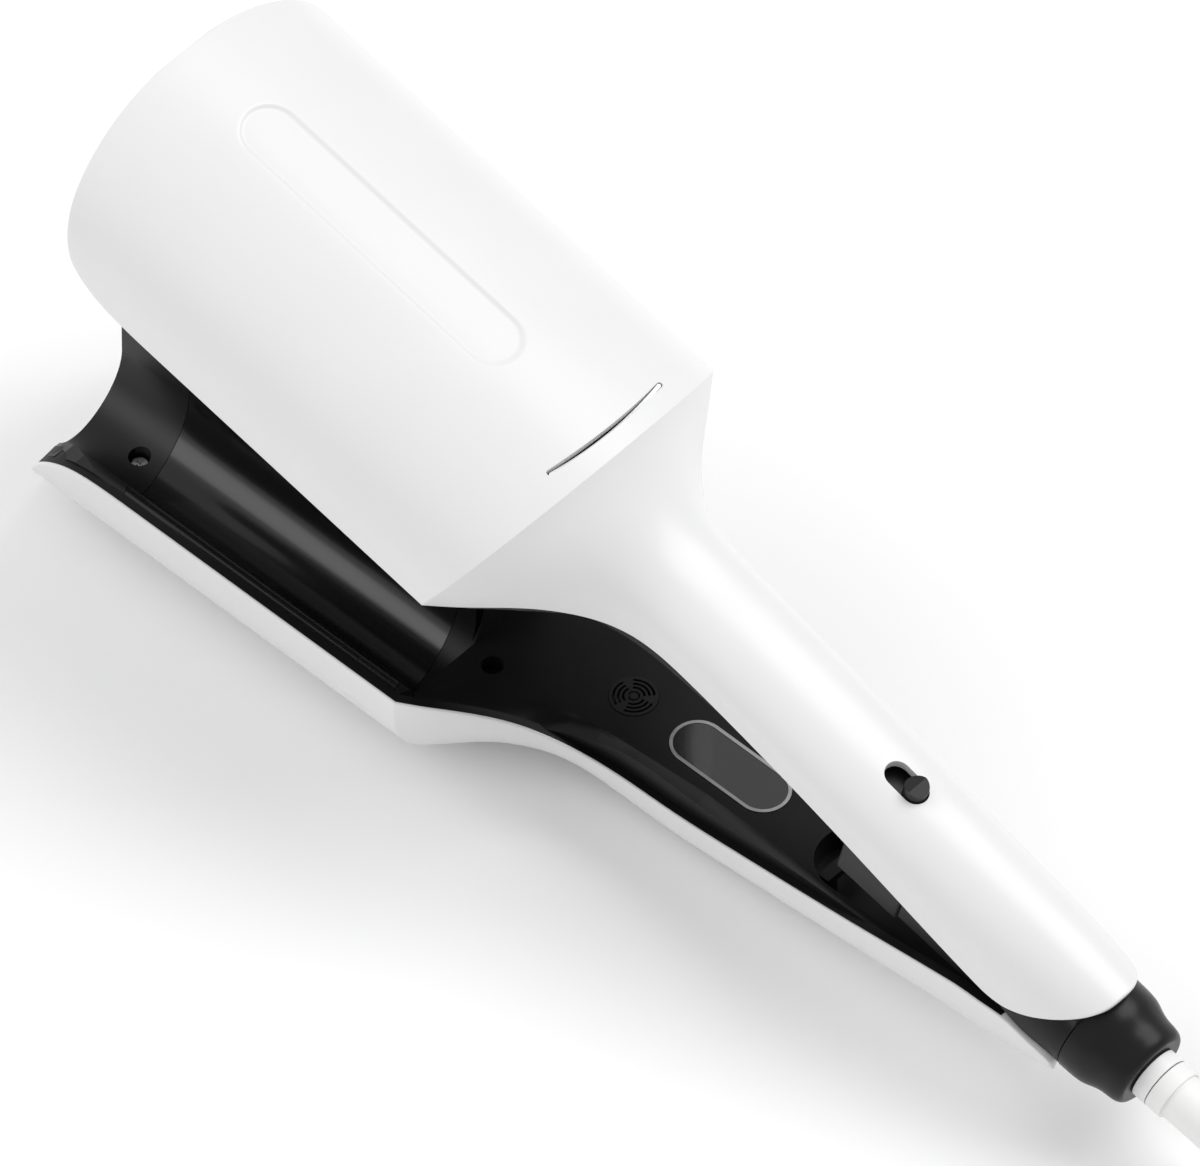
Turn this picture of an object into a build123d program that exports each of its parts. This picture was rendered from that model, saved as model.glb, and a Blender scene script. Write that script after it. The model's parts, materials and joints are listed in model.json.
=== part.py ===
from build123d import *
import os
from math import sin, cos, tan, atan, radians, degrees, pi

# Hair waver: two deep-wave jaws on one tail hinge, sprung open, with a lock slider,
# a swivelling mains lead and a touch display on the inner face of the lower handle.
#
# Frame: millimetres, +Z up, +X towards the tail and the lead, -X towards the tip.
# The lower jaw lies on its belly on the plane z = 0. The origin is under the centre
# of the object without its lead.
#
# Both jaws are drawn in a "jaw frame" whose origin is the hinge axis and whose z = 0
# plane is the plane in which the two handles meet. The lower jaw frame is level; the
# upper jaw frame is turned by OPEN_ANGLE about the hinge, which raises its tip.

os.makedirs("parts", exist_ok=True)

# ------------------------------------------------------------------ driving sizes
OPEN_ANGLE = 13.0        # angle between the jaws when sprung open, degrees
HEAD_W = 85.0            # width of the head over its two covers
HEAD_PLANE = 7.2         # height of the heads' meeting plane over the hinge plane
HEAD_GAP = 2.1           # each cover's side edge stands this far from that plane
HEAD_H = 33.7            # from the heads' meeting plane to the crown of a cover
WALL = 2.2               # cover wall thickness
SUPER_N = 2.11           # roundness of the covers' cross-section
SIDE_RISE = 4.1          # straight side wall before the section curves over
LOBE_R = 9.75            # radius of a wave lobe
CHAN_R = 12.75           # radius of a wave channel
PITCH = 22.5             # sideways distance from a lobe to the next channel
PLATE_T = 2.0            # wall of the aluminium wave plates
BOW = 11.0               # how far the joints between caps, plates and housings bow to the tip
PIN_R = 2.0              # hinge pin radius
PIN_L = 18.0             # hinge pin length
KNUCKLE_R = 4.1          # radius of the lower jaw's hinge lugs
BLOCK_Y = 9.2            # half width of the hinge block and the lock boss
POCKET_Y = 9.6           # half width of the pocket that takes them
POCKET_Z = -12.0         # floor of that pocket
SLOT_X = -57.2           # centre of the lock slot on the handle
SLOT_L = 11.4            # slot length over its round ends
SLOT_W = 6.2             # slot width
SLIDE = 5.2              # travel of the lock slider
LABEL_X = -218.9         # centre of the bare label recess
LABEL_L = 79.5
LABEL_W = 13.4
PANEL_X = -102.3         # centre of the display panel
PANEL_L = 31.4
PANEL_W = 12.4
VENT_X = -130.6          # centre of the ion outlet
VENT_R = 5.4
FACE_Z = -4.9            # inner face of the lower handle, below the hinge plane
CORD_D = 6.2             # mains lead diameter
COIL_C = (90.0, 44.0)    # centre of the stored coil, from the hinge
COIL_R = 44.0            # its outermost turn
COIL_TURNS = 4           # turns side by side in each of its two layers

HALF = HEAD_W / 2
ZU = HEAD_PLANE + HEAD_GAP             # upper cover side edge
ZL = HEAD_PLANE - HEAD_GAP             # lower cover side edge
TOP = HEAD_PLANE + HEAD_H              # upper crown
BOT = HEAD_PLANE - HEAD_H              # lower belly
BELLY = BOT - 0.06                     # lower crown, cut flat at BOT
HINGE_Z = -BOT                         # the belly lies on z = 0
HINGE_X = 126.9                        # centres the object on the origin
FRONT = -266.3           # cap front at the side edge
NOSE = -272.6            # cap front in the middle
CAP_REAR = -242.0        # cap/plate joint at the side edge
PLATE_REAR = -162.2      # plate/housing joint at the side edge
CREASE = 19.2            # lean of the crease between head and neck, degrees
CREASE_STEP = 0.30       # the neck starts this much inside the head's end
FIT = 0.25               # gap between a cover's inside and what fills it

# ------------------------------------------------------------------ frames
_c, _s = cos(radians(OPEN_ANGLE)), sin(radians(OPEN_ANGLE))
LO = Plane(origin=(HINGE_X, 0, HINGE_Z), x_dir=(1, 0, 0), z_dir=(0, 0, 1))
UP = Plane(origin=(HINGE_X, 0, HINGE_Z), x_dir=(_c, 0, -_s), z_dir=(_s, 0, _c))


def at(J, x, y, z):
    """A point of a jaw frame, in the part's frame."""
    return J.from_local_coords(Vector(x, y, z))


def cross(J, x, z=0.0, lean=0.0):
    """Plane across the jaw: its x is the jaw's Y, its y is the jaw's Z leant back."""
    a = radians(lean)
    zd = J.x_dir * cos(a) - J.z_dir * sin(a)
    return Plane(origin=at(J, x, 0, z), x_dir=J.y_dir, z_dir=zd)


def side(J, y=0.0):
    """Plane along the jaw: its x is the jaw's X, its y is the jaw's Z."""
    return Plane(origin=at(J, 0, y, 0), x_dir=J.x_dir, z_dir=J.y_dir * -1)


def flat(J, z=0.0):
    """Plane level with the jaw: its x is the jaw's X, its y is the jaw's Y."""
    return Plane(origin=at(J, 0, 0, z), x_dir=J.x_dir, z_dir=J.z_dir)


# ------------------------------------------------------------------ profiles
def arch_points(h, z_wide, z_top, n=SUPER_N, k=8):
    """Points of half a superellipse from (-h, z_wide) over the crown to (h, z_wide)."""
    pts = []
    for i in range(k + 1):
        a = pi * i / k
        cc, ss = cos(a), abs(sin(a))
        y = -h * (1 if cc > 0 else -1) * abs(cc) ** (2 / n)
        pts.append((y, z_wide + (z_top - z_wide) * ss ** (2 / n)))
    pts[0], pts[-1] = (-h, z_wide), (h, z_wide)
    return pts


def arch(plane, h, z_edge, z_top, sgn=1, rise=SIDE_RISE, n=SUPER_N):
    """Section of a cover: open side at z_edge, straight side walls, arched crown."""
    zw = z_edge + sgn * rise
    with BuildSketch(plane) as sk:
        with BuildLine():
            Line((-h, z_edge), (-h, zw))
            Spline(*arch_points(h, zw, z_top, n))
            Line((h, zw), (h, z_edge))
            Line((h, z_edge), (-h, z_edge))
        make_face()
    return sk.sketch


def poly(plane, pts):
    """Closed polygon."""
    with BuildSketch(plane) as sk:
        with BuildLine():
            Polyline(*pts, close=True)
        make_face()
    return sk.sketch


def stadium(plane, x, y, length, width):
    """Slot shape along the plane's x."""
    with BuildSketch(plane) as sk:
        with Locations((x, y)):
            SlotOverall(length, width)
    return sk.sketch


def disc(plane, x, y, r):
    with BuildSketch(plane) as sk:
        with Locations((x, y)):
            Circle(r)
    return sk.sketch


def ring(plane, x, y, ro, ri):
    with BuildSketch(plane) as sk:
        with Locations((x, y)):
            Circle(ro)
            Circle(ri, mode=Mode.SUBTRACT)
    return sk.sketch


def rect(plane, x0, x1, y0, y1):
    """Rectangle between two corners of a plane."""
    with BuildSketch(plane) as sk:
        with Locations(((x0 + x1) / 2, (y0 + y1) / 2)):
            Rectangle(x1 - x0, y1 - y0)
    return sk.sketch


def arc_slot(plane, p0, p1, p2, width):
    """Curved slot of one width along an arc through three points."""
    with BuildSketch(plane) as sk:
        SlotArc(Edge.make_three_point_arc(Vector(*p0), Vector(*p1), Vector(*p2)), width)
    return sk.sketch


# Stations of the neck and handle: x, lean, half width, edge z, crown z
UP_ST = [
    (-159.0, CREASE, 42.5, ZU, TOP),
    (-152.5, 15.0, 35.9, 9.4, 36.6),
    (-145.0, 10.0, 27.4, 9.4, 33.0),
    (-137.0, 5.0, 20.2, 9.6, 29.8),
    (-130.0, 2.0, 16.3, 10.4, 27.4),
    (-121.0, 0.0, 14.3, 11.9, 25.5),
    (-108.0, 0.0, 13.8, 12.0, 24.4),
    (-85.0, 0.0, 13.7, 9.8, 22.6),
    (-55.0, 0.0, 13.75, 5.8, 20.1),
    (-25.0, 0.0, 13.8, 1.1, 18.1),
    (-8.0, 0.0, 13.5, -0.95, 17.2),
    (12.0, 0.0, 11.5, -3.3, 14.9),
]
# the lower jaw's, with the side wall's rise and the roundness of the section
LO_CREASE_X = -161.0
LO_ST = [
    (LO_CREASE_X, 0.0, 42.5, ZL, BELLY, 4.1, 2.11),
    (-156.0, 0.0, 39.4, 4.9, -26.3, 3.2, 1.85),
    (-150.0, 0.0, 33.3, 2.6, -25.9, 2.2, 1.65),
    (-143.0, 0.0, 25.4, -2.0, -25.4, 1.9, 1.6),
    (-136.0, 0.0, 19.5, -6.9, -25.0, 1.9, 1.62),
    (-129.0, 0.0, 16.0, -10.3, -24.8, 2.6, 1.75),
    (-121.0, 0.0, 14.3, -12.0, -24.6, 3.6, 1.95),
    (-108.0, 0.0, 13.8, -12.2, -24.2, 4.1, 2.11),
    (-85.0, 0.0, 13.7, -9.9, -22.6, 4.1, 2.11),
    (-55.0, 0.0, 13.75, -5.8, -20.1, 4.1, 2.11),
    (-25.0, 0.0, 13.8, -1.1, -18.1, 4.1, 2.11),
    (-8.0, 0.0, 13.5, 0.95, -17.2, 4.1, 2.11),
    (12.0, 0.0, 11.5, 3.3, -14.9, 4.1, 2.11),
]


def neck_sections(J, sgn, inset=0.0, drop=0.0):
    """Sections of the neck and handle; inset takes off a wall, drop opens the mouth."""
    out = []
    for x, lean, h, ze, zt, *form in (UP_ST if sgn > 0 else LO_ST):
        rise, n = form or (SIDE_RISE, SUPER_N)
        f = 1 / cos(radians(lean))
        i = inset + (CREASE_STEP if x < -158 else 0)
        out.append(arch(cross(J, x, ze, lean), h - i, -sgn * drop,
                        (zt - ze) * f - sgn * i, sgn, rise=rise * f + drop, n=n))
    return out


def head_section(J, sgn, x, inset=0.0, drop=0.0):
    """Section of the head, on the same terms."""
    ze, zt = (ZU, TOP) if sgn > 0 else (ZL, BELLY)
    return arch(cross(J, x), HALF - inset, ze - sgn * drop, zt - sgn * inset, sgn,
                rise=SIDE_RISE + drop)


def crease_wedge(J, sgn):
    """Side view of all that lies in front of the crease, which leans in the upper jaw."""
    if sgn < 0:
        return poly(side(J), [(-290, BELLY - 2), (LO_CREASE_X, BELLY - 2), (LO_CREASE_X, 60), (-290, 60)])
    ze, zt = ZU, TOP
    a = tan(radians(CREASE))
    return poly(side(J), [(-290, ze - sgn * 50), (-159.0 - a * 50, ze - sgn * 50),
                          (-159.0 + a * abs(zt - ze + sgn * 2), zt + sgn * 2), (-290, zt + sgn * 2)])


def rim_points(sgn):
    """Side view of a cover's front rim, from the side edge up to the crown."""
    z0 = HEAD_PLANE
    return [(-236.0, z0 + sgn * 2.1), (-245.0, z0 + sgn * 2.15), (-251.5, z0 + sgn * 2.5),
            (-257.2, z0 + sgn * 3.5), (-262.0, z0 + sgn * 5.5), (-265.4, z0 + sgn * 8.0),
            (-268.1, z0 + sgn * 11.5), (-271.8, z0 + sgn * 18.5), (-275.6, z0 + sgn * 27.0),
            (-278.9, z0 + sgn * 33.9)]


def cover_side(J, sgn, tail):
    """Side view of what a cover keeps: outside its edge line and behind its rim."""
    rim = rim_points(sgn)
    edge = [(s[0], s[3]) for s in (UP_ST if sgn > 0 else LO_ST)][:-2]
    with BuildSketch(side(J)) as sk:
        with BuildLine():
            Spline(*rim)
            Line(rim[0], edge[0])
            Spline(*edge, *tail)
            Polyline(tail[-1], (tail[-1][0], sgn * 55), (rim[-1][0], sgn * 55), rim[-1])
        make_face()
    return sk.sketch


WAVE_OUT_R = 5.33        # rounded shoulder outside the lower channels
WAVE_IN_R = 8.08         # hollow shoulder outside the upper lobes
SHOULDER_Y = 40.3


def wave_face(J, x, jaw, t=0.0):
    """Face behind a jaw's wave surface, sunk by t along its normals.
    jaw -1 is the lower one, whose lobe is in the middle; +1 is the upper one."""
    z0 = HEAD_PLANE
    if jaw < 0:      # lobe in the middle, channels beside it, convex shoulders
        zm, zs, rm, rs = z0 + 5.5, z0 - 4.25, LOBE_R - t, CHAN_R + t
        ro, zo = WAVE_OUT_R - t, z0 - 2.1 - WAVE_OUT_R
        end = -34.0
    else:            # channel in the middle, lobes beside it, hollow shoulders
        zm, zs, rm, rs = z0 + 4.75, z0 - 5.0, CHAN_R + t, LOBE_R - t
        ro, zo = WAVE_IN_R + t, z0 + 2.1 - WAVE_IN_R
        end = 48.0
    a_t = degrees(atan((zs - zo) / (SHOULDER_Y - PITCH)))

    def p(cy, cz, r, a):
        return (cy + r * cos(radians(a)), cz + r * sin(radians(a)))

    with BuildSketch(cross(J, x)) as sk:
        with BuildLine():
            for s in (-1, 1):
                p0, p1, p2 = (p(-SHOULDER_Y, zo, ro, a) for a in (90, (90 - a_t) / 2, -a_t))
                q0 = p2
                q1 = p(-PITCH, zs, rs, (180 - a_t + 360) / 2)
                q2 = p(-PITCH, zs, rs, 360)
                ThreePointArc((-s * p0[0], p0[1]), (-s * p1[0], p1[1]), (-s * p2[0], p2[1]))
                ThreePointArc((-s * q0[0], q0[1]), (-s * q1[0], q1[1]), (-s * q2[0], q2[1]))
                Line((s * rm, zs), (s * rm, zm))
                Line((s * SHOULDER_Y, zo + ro), (s * SHOULDER_Y, end))
            ThreePointArc((-rm, zm), (0, zm + rm), (rm, zm))
            Line((-SHOULDER_Y, end), (SHOULDER_Y, end))
        make_face()
    return sk.sketch


def bowed_slab(J, x_a, x_b):
    """Plan view of what lies between two arcs that bow towards the tip; x_a and x_b are
    their places at the cover's side edge."""
    with BuildSketch(flat(J, 0)) as sk:
        with BuildLine():
            ThreePointArc((x_a + 1.93, -45), (x_a - BOW, 0), (x_a + 1.93, 45))
            Line((x_a + 1.93, 45), (x_b + 1.93, 45))
            ThreePointArc((x_b + 1.93, 45), (x_b - BOW, 0), (x_b + 1.93, -45))
            Line((x_b + 1.93, -45), (x_a + 1.93, -45))
        make_face()
    return sk.sketch


def keep(builder, label):
    """Label a finished piece and write it."""
    builder.part.label = label
    export_step(builder.part, f"parts/{label}.step")
    bb = builder.part.bounding_box()
    print(f"{label:24s} solids {len(builder.part.solids()):2d}  volume {builder.part.volume:10.1f}  "
          f"z {bb.min.Z:7.2f}..{bb.max.Z:7.2f}")


# ================================================================== hollows of the covers
# What a cover encloses, less FIT all round: the shape that fills its head and its neck.
with BuildPart() as upper_fill:
    extrude(head_section(UP, 1, -284.0, inset=WALL + FIT, drop=40), amount=144.0)
    extrude(crease_wedge(UP, 1), amount=60, both=True, mode=Mode.INTERSECT)
    loft(neck_sections(UP, 1, inset=WALL + FIT, drop=30))

with BuildPart() as lower_fill:
    extrude(head_section(LO, -1, -284.0, inset=WALL + FIT, drop=40), amount=144.0)
    extrude(crease_wedge(LO, -1), amount=60, both=True, mode=Mode.INTERSECT)
    loft(neck_sections(LO, -1, inset=WALL + FIT, drop=30))

with BuildPart() as upper_blank:
    extrude(head_section(UP, 1, -282.0, drop=2), amount=142.0)
    extrude(crease_wedge(UP, 1), amount=60, both=True, mode=Mode.INTERSECT)
    loft(neck_sections(UP, 1, drop=2))

with BuildPart() as upper_hollow:
    extrude(head_section(UP, 1, -284.0, inset=WALL, drop=40), amount=144.0)
    extrude(crease_wedge(UP, 1), amount=60, both=True, mode=Mode.INTERSECT)
    loft(neck_sections(UP, 1, inset=WALL, drop=30))

with BuildPart() as lower_hollow:
    extrude(head_section(LO, -1, -284.0, inset=WALL, drop=40), amount=144.0)
    extrude(crease_wedge(LO, -1), amount=60, both=True, mode=Mode.INTERSECT)
    loft(neck_sections(LO, -1, inset=WALL, drop=30))

# ================================================================== covers
UP_TAIL = [(-18.0, 0.1), (-12.5, 0.5), (-8.9, 1.9), (-3.5, 5.6), (1.5, 9.3), (5.5, 12.3),
           (8.3, 15.0), (9.0, 16.4)]
LO_TAIL = [(-17.0, -0.85), (-10.6, -0.9), (-6.0, -2.4), (-2.5, -4.0), (0.5, -4.8), (1.8, -6.6),
           (1.7, -9.0), (0.6, -12.0), (-1.6, -15.0), (-4.2, -17.6)]

# ---- upper cover: head, neck and handle in one white shell
with BuildPart() as upper_cover:
    add(upper_blank.part)
    extrude(cover_side(UP, 1, UP_TAIL), amount=60, both=True, mode=Mode.INTERSECT)
    add(upper_hollow.part, mode=Mode.SUBTRACT)
    # bare label recess on the crown
    extrude(stadium(flat(UP, TOP - 0.5), LABEL_X, 0, LABEL_L, LABEL_W), amount=5, mode=Mode.SUBTRACT)
    # lock slot through the handle's crown
    extrude(stadium(flat(UP, 10), SLOT_X, 0, SLOT_L, SLOT_W), amount=20, mode=Mode.SUBTRACT)
    # light slit across the crown, just in front of the crease
    extrude(arc_slot(flat(UP, 30), (-154.8, -14.2), (-153.3, 3.1), (-154.8, 20.5), 1.3), amount=20,
            mode=Mode.SUBTRACT)
keep(upper_cover, "upper_cover")

# ---- lower cover: the same shell upside down
with BuildPart() as lower_cover:
    extrude(head_section(LO, -1, -282.0, drop=2), amount=142.0)
    extrude(crease_wedge(LO, -1), amount=60, both=True, mode=Mode.INTERSECT)
    loft(neck_sections(LO, -1, drop=2))
    extrude(cover_side(LO, -1, LO_TAIL), amount=60, both=True, mode=Mode.INTERSECT)
    add(lower_hollow.part, mode=Mode.SUBTRACT)
    # the belly's flat strip, on which the closed object lies
    extrude(rect(flat(LO, BOT - 5), -290, 20, -60, 60), amount=5.0, mode=Mode.SUBTRACT)
keep(lower_cover, "lower_cover")

# ================================================================== wave plates
# Aluminium plates of one wall thickness; their ends lean forward from the hair gap.
with BuildPart() as upper_wave_plate:
    extrude(wave_face(UP, -272.0, 1), amount=118.0)
    extrude(wave_face(UP, -273.0, 1, PLATE_T), amount=120.0, mode=Mode.SUBTRACT)
    extrude(bowed_slab(UP, CAP_REAR + 0.15, PLATE_REAR), amount=70, both=True, mode=Mode.INTERSECT)
    add(upper_fill.part, mode=Mode.INTERSECT)
keep(upper_wave_plate, "upper_wave_plate")

with BuildPart() as lower_wave_plate:
    extrude(wave_face(LO, -272.0, -1), amount=118.0)
    extrude(wave_face(LO, -273.0, -1, PLATE_T), amount=120.0, mode=Mode.SUBTRACT)
    extrude(bowed_slab(LO, CAP_REAR + 0.15, PLATE_REAR), amount=70, both=True, mode=Mode.INTERSECT)
    add(lower_fill.part, mode=Mode.INTERSECT)
keep(lower_wave_plate, "lower_wave_plate")


# ================================================================== tip caps
def nose(J):
    """Plan view of what lies behind the caps' bulging front."""
    with BuildSketch(flat(J, 0)) as sk:
        with BuildLine():
            ThreePointArc((FRONT, -42), (NOSE, 0), (FRONT, 42))
            Polyline((FRONT, 42), (-200, 42), (-200, -42), (FRONT, -42))
        make_face()
    return sk.sketch


CAP_SCREW_X = -256.3
LOW_SCREWS = [(CAP_SCREW_X, -21.2), (CAP_SCREW_X, 21.2)]
UP_SCREWS = [(CAP_SCREW_X, -22.5), (CAP_SCREW_X, 22.5)]
LOW_SCREW_Z = -13.4      # seat of the lower cap screws' heads
UP_SCREW_Z = -3.2        # seat of the upper ones

# what would stand proud of the rims at the caps' near corners
with BuildPart() as low_corners:
    extrude(poly(side(LO), [(x, z + 0.5) for x, z in rim_points(-1)[:8]] + [(-290, -11), (-290, 60), (-236, 60)]),
            amount=60, both=True)
    extrude(rect(flat(LO, -60), -300, -200, -30.5, 30.5), amount=140, mode=Mode.SUBTRACT)
with BuildPart() as up_corners:
    extrude(poly(side(UP), [(-252.5, 8.3), (-257.2, 9.2), (-262.0, 11.2), (-265.4, 13.7), (-268.1, 17.2),
                            (-271.8, 24.2), (-290, 24.2), (-290, -40), (-252.5, -40)]), amount=60, both=True)
    extrude(rect(flat(UP, -60), -300, -200, -34.5, 34.5), amount=140, mode=Mode.SUBTRACT)

with BuildPart() as upper_tip_cap:
    extrude(wave_face(UP, -274.0, 1), amount=48.0)
    extrude(wave_face(UP, -263.5, 1, 2.2), amount=40.0, mode=Mode.SUBTRACT)
    for _x, _y in UP_SCREWS:
        extrude(disc(flat(UP, -5.6), _x, _y, 4.0), amount=17)
    extrude(nose(UP), amount=70, both=True, mode=Mode.INTERSECT)
    extrude(bowed_slab(UP, -285, CAP_REAR), amount=70, both=True, mode=Mode.INTERSECT)
    add(upper_fill.part, mode=Mode.INTERSECT)
    add(up_corners.part, mode=Mode.SUBTRACT)
    for _x, _y in UP_SCREWS:
        extrude(disc(flat(UP, UP_SCREW_Z), _x, _y, 2.5), amount=-12, mode=Mode.SUBTRACT)
        extrude(disc(flat(UP, UP_SCREW_Z), _x, _y, 1.3), amount=20, mode=Mode.SUBTRACT)
keep(upper_tip_cap, "upper_tip_cap")

with BuildPart() as lower_tip_cap:
    extrude(wave_face(LO, -274.0, -1), amount=48.0)
    extrude(wave_face(LO, -263.5, -1, 2.2), amount=40.0, mode=Mode.SUBTRACT)
    for _x, _y in LOW_SCREWS:
        extrude(disc(flat(LO, -20), _x, _y, 4.0), amount=9)
    extrude(nose(LO), amount=70, both=True, mode=Mode.INTERSECT)
    extrude(bowed_slab(LO, -285, CAP_REAR), amount=70, both=True, mode=Mode.INTERSECT)
    add(lower_fill.part, mode=Mode.INTERSECT)
    add(low_corners.part, mode=Mode.SUBTRACT)
    for _x, _y in LOW_SCREWS:
        extrude(disc(flat(LO, LOW_SCREW_Z), _x, _y, 2.5), amount=12, mode=Mode.SUBTRACT)
        extrude(disc(flat(LO, LOW_SCREW_Z), _x, _y, 1.3), amount=-20, mode=Mode.SUBTRACT)
keep(lower_tip_cap, "lower_tip_cap")

# pan-head screws that hold the caps, one node for each jaw
with BuildPart() as upper_cap_screws:
    for _x, _y in UP_SCREWS:
        extrude(disc(flat(UP, UP_SCREW_Z), _x, _y, 1.8), amount=-1.4)
        extrude(disc(flat(UP, UP_SCREW_Z), _x, _y, 1.1), amount=11)
        extrude(rect(flat(UP, UP_SCREW_Z - 1.4), _x - 1.15, _x + 1.15, _y - 0.25, _y + 0.25), amount=0.7,
                mode=Mode.SUBTRACT)
        extrude(rect(flat(UP, UP_SCREW_Z - 1.4), _x - 0.25, _x + 0.25, _y - 1.15, _y + 1.15), amount=0.7,
                mode=Mode.SUBTRACT)
keep(upper_cap_screws, "upper_cap_screws")

with BuildPart() as lower_cap_screws:
    for _x, _y in LOW_SCREWS:
        extrude(disc(flat(LO, LOW_SCREW_Z), _x, _y, 1.8), amount=1.4)
        extrude(disc(flat(LO, LOW_SCREW_Z), _x, _y, 1.1), amount=-6)
        extrude(rect(flat(LO, LOW_SCREW_Z + 1.4), _x - 1.15, _x + 1.15, _y - 0.25, _y + 0.25), amount=-0.7,
                mode=Mode.SUBTRACT)
        extrude(rect(flat(LO, LOW_SCREW_Z + 1.4), _x - 0.25, _x + 0.25, _y - 1.15, _y + 1.15), amount=-0.7,
                mode=Mode.SUBTRACT)
keep(lower_cap_screws, "lower_cap_screws")


# ================================================================== inner housings
def tray_section(J, sgn, x, half, edge, shoulder, face, depth):
    """Handle housing: a flat face between rounded shoulders that run down to the edge."""
    half, z1 = half + 1.3, edge + sgn * 1.3
    ym, zm = shoulder + (half - shoulder) * 0.72, face + (z1 - face) * 0.30
    with BuildSketch(cross(J, x)) as sk:
        with BuildLine():
            Line((-shoulder, face), (shoulder, face))
            ThreePointArc((shoulder, face), (ym, zm), (half, z1))
            Polyline((half, z1), (half, depth), (-half, depth), (-half, z1))
            ThreePointArc((-half, z1), (-ym, zm), (-shoulder, face))
        make_face()
    return sk.sketch


# x, half width of the cover's inside, edge, shoulder
LO_TRAY = [(-165.5, 40.05, 6.4, 26.0), (-161.0, 40.05, 6.4, 25.0), (-156.0, 36.9, 5.6, 22.5),
           (-150.0, 30.8, 2.9, 18.0), (-143.0, 22.9, -2.2, 14.2), (-136.0, 17.0, -7.1, 12.0),
           (-129.0, 13.5, -10.5, 10.9), (-119.0, 11.9, -12.1, 10.2), (-101.0, 11.4, -11.6, 8.9),
           (-79.0, 11.4, -9.3, 8.9), (-60.0, 11.4, -6.6, 9.9), (-44.0, 11.45, -5.6, 10.2),
           (-8.0, 11.1, -5.6, 10.1), (0.5, 10.3, -5.6, 9.9)]
UP_TRAY = [(-146.0, 26.4, 3.2, 14.5), (-140.0, 20.6, 5.2, 11.8), (-133.0, 15.2, 9.3, 11.0),
           (-119.0, 11.9, 12.0, 10.2), (-101.0, 11.4, 11.4, 8.9), (-79.0, 11.4, 9.2, 8.9),
           (-60.0, 11.4, 6.6, 9.9)]

PLUGS = [(-158.6, -14.4), (-158.6, 14.4)]

with BuildPart() as lower_inner_housing:
    # behind the plate the wave runs on for a few millimetres and its lobe drops to the flat face
    extrude(wave_face(LO, -178.0, -1), amount=16.0)
    extrude(poly(side(LO), [(-182, -14.5), (-182, 24), (-172.3, 24), (-166.3, FACE_Z), (-165.4, 5.1),
                            (-162.0, 5.1), (-162.0, -14.5)]), amount=60, both=True, mode=Mode.INTERSECT)
    extrude(rect(flat(LO, FACE_Z), -165.5, -155, -34, 34), amount=40, mode=Mode.SUBTRACT)
    extrude(bowed_slab(LO, PLATE_REAR + 0.15, -100.0), amount=70, both=True, mode=Mode.INTERSECT)
    loft([tray_section(LO, -1, x, h, e, s, FACE_Z, -14.5) for x, h, e, s in LO_TRAY], ruled=True)
    add(lower_fill.part, mode=Mode.INTERSECT)
    # hollow under the skin
    extrude(rect(flat(LO, -30), -163, -84, -10.2, 10.2), amount=FACE_Z + 30 - 2.0, mode=Mode.SUBTRACT)
    # pocket for the lock boss and the hinge block, with a rounded front
    extrude(rect(flat(LO, POCKET_Z), -74.5 + POCKET_Y, 5, -POCKET_Y, POCKET_Y), amount=20, mode=Mode.SUBTRACT)
    extrude(disc(flat(LO, POCKET_Z), -74.5 + POCKET_Y, 0, POCKET_Y), amount=20, mode=Mode.SUBTRACT)
    # windows for the display, the ion outlet and the screw plugs
    extrude(stadium(flat(LO, -12), PANEL_X, 0, PANEL_L + 0.2, PANEL_W + 0.2), amount=12, mode=Mode.SUBTRACT)
    extrude(disc(flat(LO, -12), VENT_X, 0, VENT_R + 0.1), amount=12, mode=Mode.SUBTRACT)
    for _x, _y in PLUGS:
        extrude(disc(flat(LO, -16), _x, _y, 2.45), amount=22, mode=Mode.SUBTRACT)
    # two hinge lugs standing on the pocket's floor
    for _y in (-6.0, 3.2):
        extrude(rect(side(LO, _y + 2.8), -KNUCKLE_R, 0.5, POCKET_Z - 0.5, 0), amount=2.8)
        extrude(disc(side(LO, _y + 2.8), 0, 0, KNUCKLE_R), amount=2.8)
    extrude(disc(side(LO, -20), 0, 0, 2.85), amount=-40, mode=Mode.SUBTRACT)
    # its tail corner stays inside the cover's rounded end
    extrude(poly(side(LO), [(1.0, -16.0), (1.0, -8.5), (-0.4, -10.6), (-2.6, -13.4), (-5.6, -16.0)]), amount=30,
            both=True, mode=Mode.SUBTRACT)
keep(lower_inner_housing, "lower_inner_housing")

with BuildPart() as upper_inner_housing:
    extrude(wave_face(UP, -178.0, 1), amount=34.0)
    extrude(bowed_slab(UP, PLATE_REAR + 0.15, -100.0), amount=70, both=True, mode=Mode.INTERSECT)
    extrude(poly(side(UP), [(-190, 27.0), (-190, -9.6), (-170.6, -9.6), (-167.2, -3.0), (-163.0, -FACE_Z),
                            (-144.0, -FACE_Z), (-144.0, 14.5), (-168.0, 27.0)]), amount=60, both=True,
            mode=Mode.INTERSECT)
    loft([tray_section(UP, 1, x, h, e, s, -FACE_Z, 14.5) for x, h, e, s in UP_TRAY]
         + [tray_section(UP, 1, -44.1, 11.45, 5.6, 10.2, -FACE_Z, 14.5)], ruled=True)
    add(upper_fill.part, mode=Mode.INTERSECT)
    extrude(rect(flat(UP, -FACE_Z + 2.0), -151, -62.0, -9.6, 9.6), amount=30, mode=Mode.SUBTRACT)
    # opening that the lock boss stands in
    extrude(rect(flat(UP, 0), -62.7, -40, -BLOCK_Y - 0.1, BLOCK_Y + 0.1), amount=30, mode=Mode.SUBTRACT)
keep(upper_inner_housing, "upper_inner_housing")

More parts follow.
